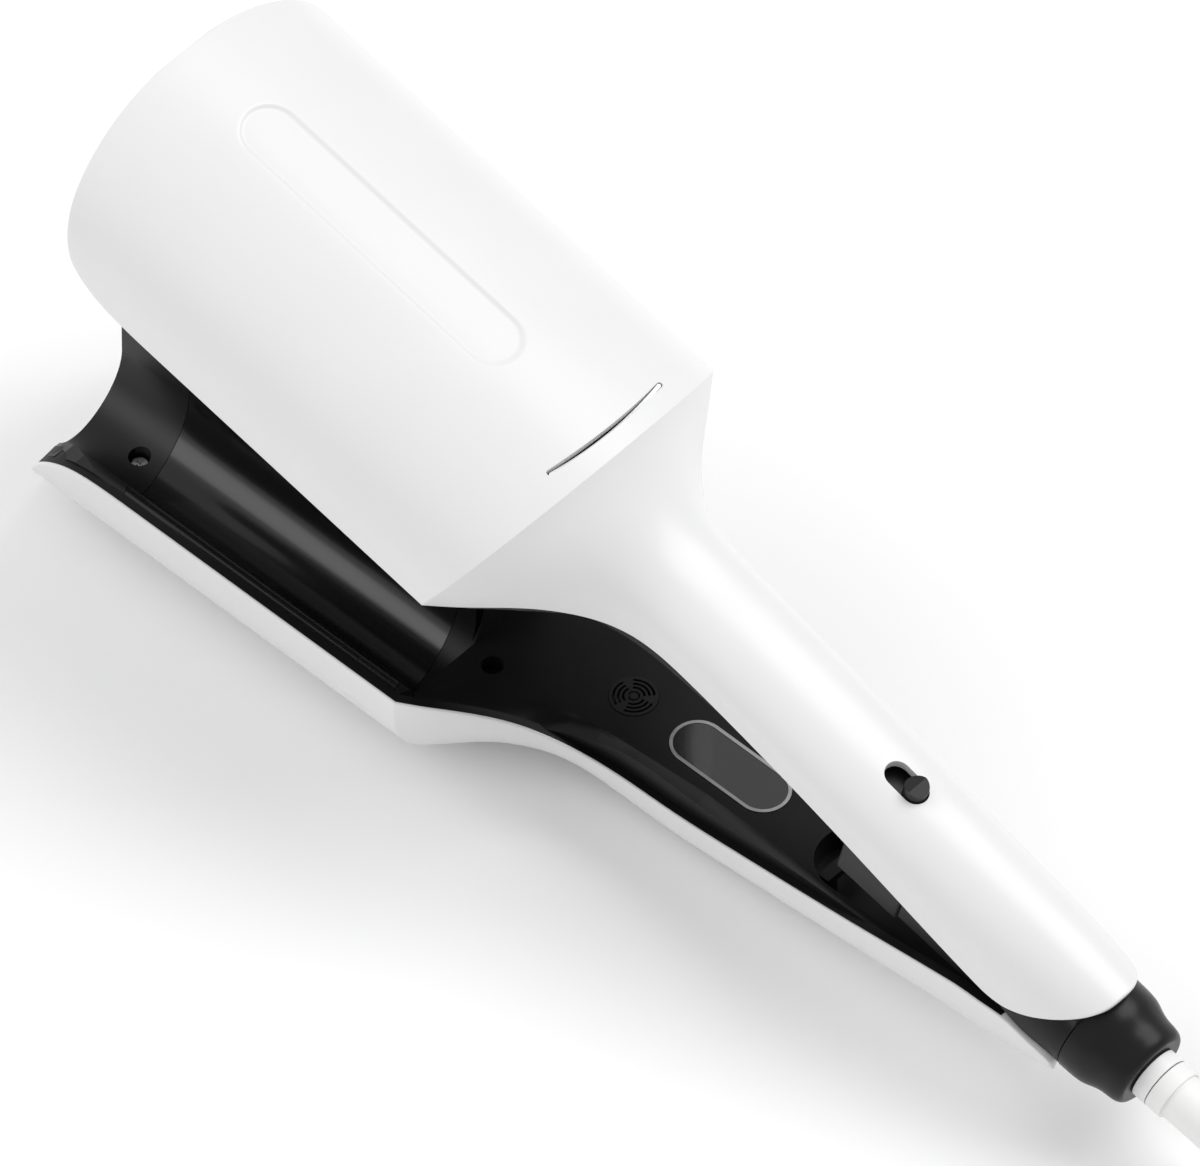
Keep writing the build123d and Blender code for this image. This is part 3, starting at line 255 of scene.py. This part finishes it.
def spline(xs, ys):
    """Natural cubic spline through the points, as a function of x."""
    xs, ys = np.asarray(xs, float), np.asarray(ys, float)
    n = len(xs)
    h = np.diff(xs)
    a = np.zeros((n, n))
    b = np.zeros(n)
    a[0, 0] = a[-1, -1] = 1.0
    for k in range(1, n - 1):
        a[k, k - 1], a[k, k], a[k, k + 1] = h[k - 1], 2 * (h[k - 1] + h[k]), h[k]
        b[k] = 6 * ((ys[k + 1] - ys[k]) / h[k] - (ys[k] - ys[k - 1]) / h[k - 1])
    m2 = np.linalg.solve(a, b)

    def f(x):
        x = np.asarray(x, float)
        k = np.clip(np.searchsorted(xs, x) - 1, 0, n - 2)
        t, u = xs[k + 1] - x, x - xs[k]
        return (m2[k] * t ** 3 + m2[k + 1] * u ** 3) / (6 * h[k]) + (ys[k] / h[k] - m2[k] * h[k] / 6) * t \
            + (ys[k + 1] / h[k] - m2[k + 1] * h[k] / 6) * u

    return f


def curve2(pts, step):
    """Smooth plane curve through points, as points about one step apart."""
    p = np.asarray(pts, float)
    d = np.concatenate([[0], np.cumsum(np.hypot(*np.diff(p, axis=0).T) ** 0.5)])
    fx, fz = spline(d, p[:, 0]), spline(d, p[:, 1])
    t = np.linspace(0, d[-1], 2000)
    q = np.stack([fx(t), fz(t)], -1)
    s = np.concatenate([[0], np.cumsum(np.hypot(*np.diff(q, axis=0).T))])
    u = np.linspace(0, s[-1], max(3, int(round(s[-1] / step)) + 1))
    return np.stack([np.interp(u, s, q[:, 0]), np.interp(u, s, q[:, 1])], -1)


def smoothstep(a, b, x):
    t = np.clip((np.asarray(x, float) - a) / (b - a), 0, 1)
    return t * t * (3 - 2 * t)


def unit(v):
    return v / np.maximum(np.linalg.norm(v, axis=-1, keepdims=True), 1e-9)


def grid_normals(P, flip):
    du = np.gradient(P, axis=0)
    dv = np.gradient(P, axis=1)
    n = unit(np.cross(dv, du))
    return -n if flip else n


def lipped_shell(P, flip, t, r):
    """Closed wall of thickness t under a grid of surface points, with lips rounded to r.
    Returns vertices and faces."""
    rows, cols = P.shape[:2]
    N = grid_normals(P, flip)
    # where the boundary runs smoothly through a grid corner, the corner's own normal is void
    for a, b in ((0, 1), (-1, -2)):
        for c, d in ((0, 1), (-1, -2)):
            N[a, c] = N[b, d]
    loop = [(0, j) for j in range(cols)] + [(i, cols - 1) for i in range(1, rows)] \
        + [(rows - 1, j) for j in range(cols - 2, -1, -1)] + [(i, 0) for i in range(rows - 2, 0, -1)]
    L = np.array([P[i, j] for i, j in loop])
    LN = np.array([N[i, j] for i, j in loop])
    inner = []
    for i, j in loop:
        a = min(max(i, 1), rows - 2)
        b = min(max(j, 1), cols - 2)
        inner.append(P[a, b])
    B = L - np.array(inner)
    T = unit(np.roll(L, -1, 0) - np.roll(L, 1, 0))
    B -= (B * LN).sum(-1, keepdims=True) * LN
    B -= (B * T).sum(-1, keepdims=True) * T
    room = np.linalg.norm(B, axis=-1)
    B = unit(B)
    rr = np.minimum(r, 0.75 * room)[:, None]
    for _ in range(6):
        rr = np.minimum(rr, (np.roll(rr, 1, 0) + np.roll(rr, -1, 0)) / 2 + 0.02)
    rings = []
    for ph in (0, 22.5, 45, 67.5, 90):
        c = L - B * rr - LN * rr
        rings.append(c + rr * (B * sin(radians(ph)) + LN * cos(radians(ph))))
    for ph in (0, 30, 60, 90):
        c = L - B * rr - LN * (t - rr)
        rings.append(c + rr * (B * cos(radians(ph)) - LN * sin(radians(ph))))
    outer, inside = P.copy(), P - N * t
    for k, (i, j) in enumerate(loop):
        outer[i, j] = rings[0][k]
        inside[i, j] = rings[-1][k]
    verts = list(outer.reshape(-1, 3)) + list(inside.reshape(-1, 3))
    idx = np.arange(rows * cols).reshape(rows, cols)
    faces = []
    for i in range(rows - 1):
        for j in range(cols - 1):
            q = (idx[i, j], idx[i, j + 1], idx[i + 1, j + 1], idx[i + 1, j])
            if flip:
                q = q[::-1]
            faces.append(q)
            faces.append(tuple(k + rows * cols for k in q[::-1]))
    ring_ids = [[idx[i, j] for i, j in loop]]
    for ring in rings[1:-1]:
        base = len(verts)
        verts += list(ring)
        ring_ids.append(list(range(base, base + len(loop))))
    ring_ids.append([idx[i, j] + rows * cols for i, j in loop])
    n = len(loop)
    for a, b in zip(ring_ids, ring_ids[1:]):
        for k in range(n):
            q = (a[k], a[(k + 1) % n], b[(k + 1) % n], b[k])
            faces.append(q if flip else q[::-1])
    return verts, faces


def trim(v, x_min, z_min):
    """Keeps rounded lips inside the part's own box."""
    v = np.array(v)
    v[:, 0] = np.maximum(v[:, 0], x_min)
    v[:, 1] = np.clip(v[:, 1], -42.49, 42.49)
    v[:, 2] = np.maximum(v[:, 2], z_min)
    return v


def cut(ob, cutter):
    """Takes the cutter's closed mesh out of a piece."""
    md = ob.modifiers.new("cut", "BOOLEAN")
    md.operation, md.object, md.solver = "DIFFERENCE", cutter, "EXACT"
    bpy.context.view_layer.update()
    dg = bpy.context.evaluated_depsgraph_get()
    me = bpy.data.meshes.new_from_object(ob.evaluated_get(dg))
    old = ob.data
    ob.modifiers.clear()
    name = old.name
    ob.data = me
    bpy.data.meshes.remove(old)
    me.name = name
    bpy.data.objects.remove(cutter)


def prism(outline, z0, z1, frame_of):
    """Closed prism over an outline of (x, y), between two heights of a jaw frame."""
    n = len(outline)
    v = [(x, y, z0) for x, y in outline] + [(x, y, z1) for x, y in outline]
    f = [tuple(range(n - 1, -1, -1)), tuple(range(n, 2 * n))]
    f += [(k, (k + 1) % n, n + (k + 1) % n, n + k) for k in range(n)]
    me = bpy.data.meshes.new("cutter")
    me.from_pydata([tuple(c / 1000 for c in p) for p in frame_of(np.array(v))], [], f)
    b = bmesh.new()
    b.from_mesh(me)
    bmesh.ops.recalc_face_normals(b, faces=b.faces)
    b.to_mesh(me)
    b.free()
    ob = bpy.data.objects.new("cutter", me)
    scene.collection.objects.link(ob)
    return ob


def stadium(cx, cy, length, width, n=20):
    """Outline of a slot along x, counter-clockwise."""
    r, a = width / 2, length / 2 - width / 2
    out = [(cx + a + r * cos(t), cy + r * sin(t)) for t in np.linspace(-pi / 2, pi / 2, n)]
    return out + [(cx - a - r * cos(t), cy - r * sin(t)) for t in np.linspace(-pi / 2, pi / 2, n)]


# ------------------------------------------------------------------ the two covers
HALF, PLANE, GAP, HIGH, WALL = 42.5, 7.2, 2.1, 33.7, 2.2
SUPER_N, RISE = 2.11, 4.1
BELLY_FLAT = -26.5
# Stations: x, lean, half width, edge z, crown z, rise of the side wall, roundness
ST_UP = [(-159.0, 19.2, 42.5, 9.3, 40.9), (-152.5, 15.0, 35.9, 9.4, 36.6), (-145.0, 10.0, 27.4, 9.4, 33.0),
         (-137.0, 5.0, 20.2, 9.6, 29.8), (-130.0, 2.0, 16.3, 10.4, 27.4), (-121.0, 0.0, 14.3, 11.9, 25.5),
         (-108.0, 0.0, 13.8, 12.0, 24.4), (-85.0, 0.0, 13.7, 9.8, 22.6), (-55.0, 0.0, 13.75, 5.8, 20.1),
         (-25.0, 0.0, 13.8, 1.1, 18.1), (-8.0, 0.0, 13.5, -0.95, 17.2), (12.0, 0.0, 11.5, -3.3, 14.9)]
ST_UP = [row + (RISE, SUPER_N) for row in ST_UP]
ST_LO = [(-161.0, 0.0, 42.5, 5.1, -26.56, 4.1, 2.11), (-156.0, 0.0, 39.4, 4.9, -26.3, 3.2, 1.85),
         (-150.0, 0.0, 33.3, 2.6, -25.9, 2.2, 1.65), (-143.0, 0.0, 25.4, -2.0, -25.4, 1.9, 1.6),
         (-136.0, 0.0, 19.5, -6.9, -25.0, 1.9, 1.62), (-129.0, 0.0, 16.0, -10.3, -24.8, 2.6, 1.75),
         (-121.0, 0.0, 14.3, -12.0, -24.6, 3.6, 1.95), (-108.0, 0.0, 13.8, -12.2, -24.2, 4.1, 2.11),
         (-85.0, 0.0, 13.7, -9.9, -22.6, 4.1, 2.11), (-55.0, 0.0, 13.75, -5.8, -20.1, 4.1, 2.11),
         (-25.0, 0.0, 13.8, -1.1, -18.1, 4.1, 2.11), (-8.0, 0.0, 13.5, 0.95, -17.2, 4.1, 2.11),
         (12.0, 0.0, 11.5, 3.3, -14.9, 4.1, 2.11)]
# Tail edges up to the corner where they turn into the rounded end, and that end up to the crown
TAIL_UP = [(-18.0, 0.1), (-12.5, 0.5), (-8.9, 1.9), (-3.5, 5.6), (1.5, 9.3)]
END_UP = [(1.5, 9.3), (4.2, 11.3), (6.3, 13.0), (7.7, 14.4), (8.3, 15.4), (8.5, 17.0)]
TAIL_LO = [(-17.0, -0.85), (-10.6, -0.9), (-6.0, -2.4), (-2.5, -4.0), (0.2, -5.4)]
END_LO = [(0.2, -5.4), (1.3, -7.2), (1.4, -9.2), (0.5, -12.0), (-1.6, -15.0), (-4.2, -17.6)]
RIM = [(-236.0, 2.1), (-245.0, 2.15), (-251.5, 2.5), (-257.2, 3.5), (-262.0, 5.5), (-265.4, 8.0), (-268.1, 11.5),
       (-271.8, 18.5), (-275.6, 27.0), (-278.9, 33.9)]


def half_profile(h, z_edge, z_top, z_cut, sgn, fr, rise=RISE, form=SUPER_N):
    """Points (y, z) of half a section at fractions fr of its length from the crown to z_cut."""
    zw = z_edge + sgn * rise
    a = np.linspace(pi / 2, 0, 500)
    y = h * np.abs(np.cos(a)) ** (2 / form)
    z = zw + (z_top - zw) * np.abs(np.sin(a)) ** (2 / form)
    z[-1] = zw
    y = np.concatenate([y, np.full(40, h)])
    z = np.concatenate([z, np.linspace(zw, z_edge, 41)[1:]])
    up = sgn * (z - z_cut) >= 0
    k = max(2, int(up.sum()))
    y, z = y[:k], z[:k]
    if k < len(up):
        y0, z0 = y[-1], z[-1]
        y1 = (h * np.abs(np.cos(a)) ** (2 / form))[k] if k < 500 else h
        z1 = (zw + (z_top - zw) * np.abs(np.sin(a)) ** (2 / form))[k] if k < 500 else z_edge
        f = (z_cut - z0) / (z1 - z0) if abs(z1 - z0) > 1e-9 else 0
        y, z = np.append(y, y0 + (y1 - y0) * f), np.append(z, z_cut)
    s = np.concatenate([[0], np.cumsum(np.hypot(np.diff(y), np.diff(z)))])
    return np.interp(fr * s[-1], s, y), np.interp(fr * s[-1], s, z)


def cover_grid(sgn, stations, tail, end, fractions, label):
    """Surface points of a cover: rows across it, columns along it from the rim to the tail."""
    st = np.array(stations)
    fl, fh, fe, ft, fs, fn = (spline(st[:, 0], st[:, k]) for k in (1, 2, 3, 4, 5, 6))
    edge0, top0 = PLANE + sgn * GAP, st[0, 4]
    xc, lean0 = st[0, 0], st[0, 1]
    cols = []
    rim = curve2([(x, PLANE + sgn * z) for x, z in RIM[::-1]], 0.25)
    rim = rim[sgn * (rim[:, 1] - top0) < -0.25]
    mine = rim[rim[:, 0] < -262.0]
    step = 3
    front = list(mine[::step])
    form = (RISE, SUPER_N)
    cols += [(x, 0.0, HALF, edge0, top0, z) + form for x, z in front]
    dx = 0.36 if label else 1.6
    x_end = xc - 17.0
    n = int(round((x_end + 262.0) / dx))
    for x in np.linspace(-262.0, x_end, n):
        z = np.interp(x, rim[:, 0], rim[:, 1]) if x < -236.0 else edge0
        cols.append((x, 0.0, HALF, edge0, top0, z) + form)
    for f in np.linspace(0, 1, 15)[1:-1]:
        x = x_end + (xc - 0.45 - x_end) * f
        cols.append((x, lean0 * smoothstep(0, 1, f), HALF, edge0, top0, edge0) + form)
    cols.append((xc - 0.35, lean0, HALF, edge0, top0, edge0) + form)
    xs = np.concatenate([[xc, xc + 0.4], np.linspace(xc + 1.0, -26.0, 110)])
    for x in xs:
        cols.append(tuple(float(q) for q in (x, fl(x), fh(x), fe(x), ft(x), fe(x), fs(x), fn(x))))
    tl = curve2([(q[0], q[3]) for q in stations if q[0] in (-55.0, -25.0)] + list(tail), 0.8)
    tl = tl[tl[:, 0] > -25.2]
    for x, z in tl:
        cols.append(tuple(float(q) for q in (x, 0.0, fh(x), fe(x), ft(x), z, RISE, SUPER_N)))
    fr = np.asarray(fractions)
    en = curve2(end, 0.1)
    en = en[np.argsort(sgn * en[:, 1])]
    x_s, x_c = -22.0, end[0][0]
    P = np.zeros((2 * len(fr) - 1, len(cols), 3))
    for j, (x, lean, h, ze, zt, zc, rise, n) in enumerate(cols):
        y, z = half_profile(h, ze, zt, zc, sgn, fr, rise, n)
        X = x + tan(radians(lean)) * (z - ze)
        if x > x_s:
            # towards the tail the columns bend into the rounded end
            for _ in range(2):
                w = (x - x_s) / (x_c - x_s)
                X = x_s + w * (np.interp(sgn * z, sgn * en[:, 1], en[:, 0]) - x_s)
                for k, xk in enumerate(X):
                    yk, zk = half_profile(float(fh(xk)), float(fe(xk)), float(ft(xk)), zc, sgn, fr[k:k + 1])
                    y[k], z[k] = yk[0], zk[0]
        y = np.minimum(y, HALF - 0.02)
        if sgn < 0:
            z = np.maximum(z, BELLY_FLAT)
        half = np.stack([X, y, z], -1)
        P[len(fr) - 1:, j] = half
        P[:len(fr), j] = (half * (1, -1, 1))[::-1]
    return P


FR_LABEL = np.concatenate([np.linspace(0, 8.6, 24), np.linspace(8.6, 60.0, 32)[1:]]) / 60.0
FR_PLAIN = np.linspace(0, 1, 34)
LABEL = (-218.9, 79.5, 13.4)

P = cover_grid(1, ST_UP, TAIL_UP, END_UP, FR_LABEL, True)
seg = np.clip(P[..., 0], LABEL[0] - (LABEL[1] - LABEL[2]) / 2, LABEL[0] + (LABEL[1] - LABEL[2]) / 2)
dist = np.hypot(P[..., 0] - seg, P[..., 1]) - LABEL[2] / 2
on_top = P[..., 2] > 30
P -= grid_normals(P, False) * (0.55 * smoothstep(0.55, -0.6, dist) * on_top)[..., None]
v, f = lipped_shell(P, False, WALL, 0.45)
upper_shell = mesh("upper_shell", UP(trim(v, -278.7, -99)), f, "shell", "upper_jaw", ["upper_cover"], 50)
cut(upper_shell, prism(stadium(-57.2, 0, 11.4, 6.2), 12, 26, UP))


def arc_outline(p0, p1, p2, w, n=40):
    """Outline of a slot of width w along the parabola through three points (x over y)."""
    ys = np.linspace(p0[1], p2[1], n)
    co = np.polyfit([p0[1], p1[1], p2[1]], [p0[0], p1[0], p2[0]], 2)
    c = np.stack([np.polyval(co, ys), ys], -1)
    t = unit(np.gradient(c, axis=0))
    nrm = np.stack([-t[:, 1], t[:, 0]], -1)
    e0 = [c[0] + w / 2 * (np.cos(a) * nrm[0] - np.sin(a) * t[0]) for a in np.linspace(0, pi, 9)[1:-1]]
    e1 = [c[-1] + w / 2 * (-np.cos(a) * nrm[-1] + np.sin(a) * t[-1]) for a in np.linspace(0, pi, 9)[1:-1]]
    return [tuple(q) for q in list(c[::-1] + nrm[::-1] * w / 2) + e0 + list(c - nrm * w / 2) + e1]


cut(upper_shell, prism(arc_outline((-154.8, -14.2), (-153.3, 3.1), (-154.8, 20.5), 1.3), 34, 46, UP))
resharpen(upper_shell, 50)



def lip_band(name, P, flip, frame_of, body, side, j0, j1, material="housing"):
    """Black band of the insert on top of a cover's lip, short of its outer edge."""
    N = grid_normals(P, flip)
    a, b = (P.shape[0] - 1, P.shape[0] - 2) if side > 0 else (0, 1)
    L, LN, B = P[a, j0:j1], N[b, j0:j1], unit(P[a, j0:j1] - P[b, j0:j1])
    LN = unit(LN - (LN * B).sum(-1, keepdims=True) * B)
    reach = (3.2 * smoothstep(-257.0, -263.0, L[:, 0]))[:, None]
    sec = [(0.62, -0.3, 0), (0.62, 0.02, 0), (0.72, 0.12, 0), (2.35, 0.12, 1), (2.75, 0.05, 1), (2.75, -0.3, 1)]
    rings = [L - LN * (u + reach * q) + B * w for u, w, q in sec]
    n, m_ = len(L), len(sec)
    verts = [r[k] for k in range(n) for r in rings]
    faces = [(k * m_ + q, k * m_ + (q + 1) % m_, (k + 1) * m_ + (q + 1) % m_, (k + 1) * m_ + q)
             for k in range(n - 1) for q in range(m_)]
    faces += [tuple(range(m_))[::-1], tuple((n - 1) * m_ + q for q in range(m_))]
    ob = mesh(name, frame_of(np.array(verts)), faces, material, body, (), 35)
    b2 = bmesh.new()
    b2.from_mesh(ob.data)
    bmesh.ops.recalc_face_normals(b2, faces=b2.faces)
    b2.to_mesh(ob.data)
    b2.free()
    return ob


P = cover_grid(-1, ST_LO, TAIL_LO, END_LO, FR_PLAIN, False)
for side, tag in ((1, "far"), (-1, "near")):
    js = [j for j in range(P.shape[1]) if -267.0 < P[-1, j, 0] < -10.5]
    lip_band("lower_lip_" + tag, P, True, LO, "lower_jaw", side, js[0], js[-1])
v, f = lipped_shell(P, True, WALL, 0.45)
mesh("lower_shell", LO(trim(v, -278.7, BELLY_FLAT)), f, "shell", "lower_jaw", ["lower_cover"], 50)

# cheeks between the covers at the tail, flush with the upper cover in front and with the
# round collar behind
def cheeks():
    st = np.array(ST_UP)
    fh, fe, ft = (spline(st[:, 0], st[:, k]) for k in (2, 3, 4))
    low = np.array([(-12.0, 0.2), (-3.0, -3.0), (0.4, -3.9), (4.3, -5.0)])
    high = np.array([(-12.0, 0.45), (-8.9, 1.4), (-3.5, 5.1), (1.5, 8.8), (4.3, 10.7)])
    verts, faces = [], []
    nx, nz = 44, 18
    for side in (1, -1):
        base = len(verts)
        for inner in (0, 1):
            for x in np.linspace(-12.0, 4.3, nx):
                zl, zh = np.interp(x, low[:, 0], low[:, 1]), np.interp(x, high[:, 0], high[:, 1])
                for z in np.linspace(zl, zh, nz):
                    h, ze, zt = float(fh(x)), float(fe(x)), float(ft(x))
                    r = min(1.0, max(0.0, (z - ze - RISE) / (zt - ze - RISE)))
                    y = h * (1 - r ** SUPER_N) ** (1 / SUPER_N) - 0.3
                    w = float(smoothstep(-9.0, 4.3, x))
                    y = (1 - w) * y + w * sqrt(max(1.0, 12.1 ** 2 - z * z))
                    verts.append((x, side * (9.22 if inner else max(9.34, y)), z))
        idx = np.arange(2 * nx * nz).reshape(2, nx, nz) + base
        for a in range(nx - 1):
            for c in range(nz - 1):
                faces.append((idx[0, a, c], idx[0, a + 1, c], idx[0, a + 1, c + 1], idx[0, a, c + 1]))
                faces.append((idx[1, a, c], idx[1, a, c + 1], idx[1, a + 1, c + 1], idx[1, a + 1, c]))
        rim = [(a, 0) for a in range(nx)] + [(nx - 1, c) for c in range(1, nz)] \
            + [(a, nz - 1) for a in range(nx - 2, -1, -1)] + [(0, c) for c in range(nz - 2, 0, -1)]
        for (a, c), (a2, c2) in zip(rim, rim[1:] + rim[:1]):
            faces.append((idx[0, a, c], idx[1, a, c], idx[1, a2, c2], idx[0, a2, c2]))
    ob = mesh("hinge_cheeks", UP(np.array(verts)), faces, "housing", "upper_jaw", ["hinge_side_covers"], 35)
    b2 = bmesh.new()
    b2.from_mesh(ob.data)
    bmesh.ops.recalc_face_normals(b2, faces=b2.faces)
    b2.to_mesh(ob.data)
    b2.free()


cheeks()

# ------------------------------------------------------------------ floor and studio light
floor_mat, fnt, fbs = new_material("floor_pale")
fco = fnt.nodes.new("ShaderNodeTexCoord").outputs["Object"]
fnt.links.new(ramp(fnt, noise(fnt, fco, 3.0), [(0.2, 0.925), (0.8, 0.935)]), fbs.inputs["Base Color"])
fbs.inputs["Roughness"].default_value = 0.9
fbs.inputs["Specular IOR Level"].default_value = 0.1
bm = bmesh.new()
for x, y in ((-6, -6), (6, -6), (6, 6), (-6, 6)):
    bm.verts.new((x, y, 0.0))
bm.faces.new(bm.verts)
fme = bpy.data.meshes.new("floor")
bm.to_mesh(fme)
bm.free()
fme.materials.append(floor_mat)
floor = bpy.data.objects.new("floor", fme)
scene.collection.objects.link(floor)

world = bpy.data.worlds.new("studio")
scene.world = world
world.use_nodes = True
bg = world.node_tree.nodes["Background"]
bg.inputs["Color"].default_value = (1.0, 1.0, 1.0, 1.0)
bg.inputs["Strength"].default_value = 0.7


def area(name, place, look, size, power, size_y=None):
    ld = bpy.data.lights.new(name, "AREA")
    ld.energy = power
    ld.size = size
    if size_y:
        ld.shape = "RECTANGLE"
        ld.size_y = size_y
    ob = bpy.data.objects.new(name, ld)
    scene.collection.objects.link(ob)
    ob.location = place
    ob.rotation_mode = "QUATERNION"
    ob.rotation_quaternion = (Vector(look) - Vector(place)).to_track_quat("-Z", "Y")
    return ob


area("key", (0.5, 1.0, 1.6), (0, 0, 0.02), 1.3, 20.0)
area("fill", (-1.2, -0.9, 1.1), (0, 0, 0.02), 1.2, 10.0)

# ------------------------------------------------------------------ mains lead
CC = (90.0, 44.0)        # coil centre from the hinge
D = 6.2


def coil_points():
    """Turns of the stored lead, counter-clockwise from the side next to the jaws: four
    turns inwards on the floor, a climb, and three and a half turns outwards on top."""
    per = 16
    k = 1 / cos(pi / per)
    pts = []
    radii = [44.0, 37.8, 31.6, 25.4, 25.4, 31.6, 37.8, 44.0]
    n = int(7.5 * per)
    for i in range(1, n):
        a = i / per * 360.0
        t = int(a // 360)
        f = a - 360 * t
        r = radii[t]
        z = D / 2 if t < 4 else D * 1.5
        nxt = radii[min(t + 1, 7)]
        if t == 3 and f > 255:
            z = D / 2 + D * min(1.0, (f - 255) / 95)
        if f > 285 and t != 3 and t < 7:
            s = (f - 285) / 75
            r = r + (nxt - r) * (s * s * (3 - 2 * s))
        ang = radians(a - 90)
        pts.append((CC[0] + r * k * cos(ang), CC[1] + r * k * sin(ang), z))
    return pts


route = [(50.977, 0.0, 10.7127), (57.186, 0.0, 6.988), (63.939, 0.0, 4.423), (71.049, 0.0, 3.1),
         (79.049, -0.15, 3.1), (88.0, -0.6, 3.1)]
route += coil_points()
route += [(81.0, 87.4, 7.9), (71.0, 87.1, 5.5), (61.0, 86.7, 5.3), (52.0, 86.5, 6.85)]
cd = bpy.data.curves.new("mains_flex", "CURVE")
cd.dimensions = "3D"
cd.resolution_u = 8
cd.bevel_depth = D / 2000
cd.bevel_resolution = 5
cd.use_fill_caps = True
sp = cd.splines.new("NURBS")
sp.points.add(len(route) - 1)
for p, (x, y, z) in zip(sp.points, route):
    p.co = ((HX + x) / 1000, y / 1000, z / 1000, 1.0)
sp.order_u = 3
sp.use_endpoint_u = True
cd.materials.append(M["lead"])
flex = bpy.data.objects.new("mains_flex", cd)
scene.collection.objects.link(flex)
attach(flex, "upper_jaw")
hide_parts("mains_lead", "lead_coil")
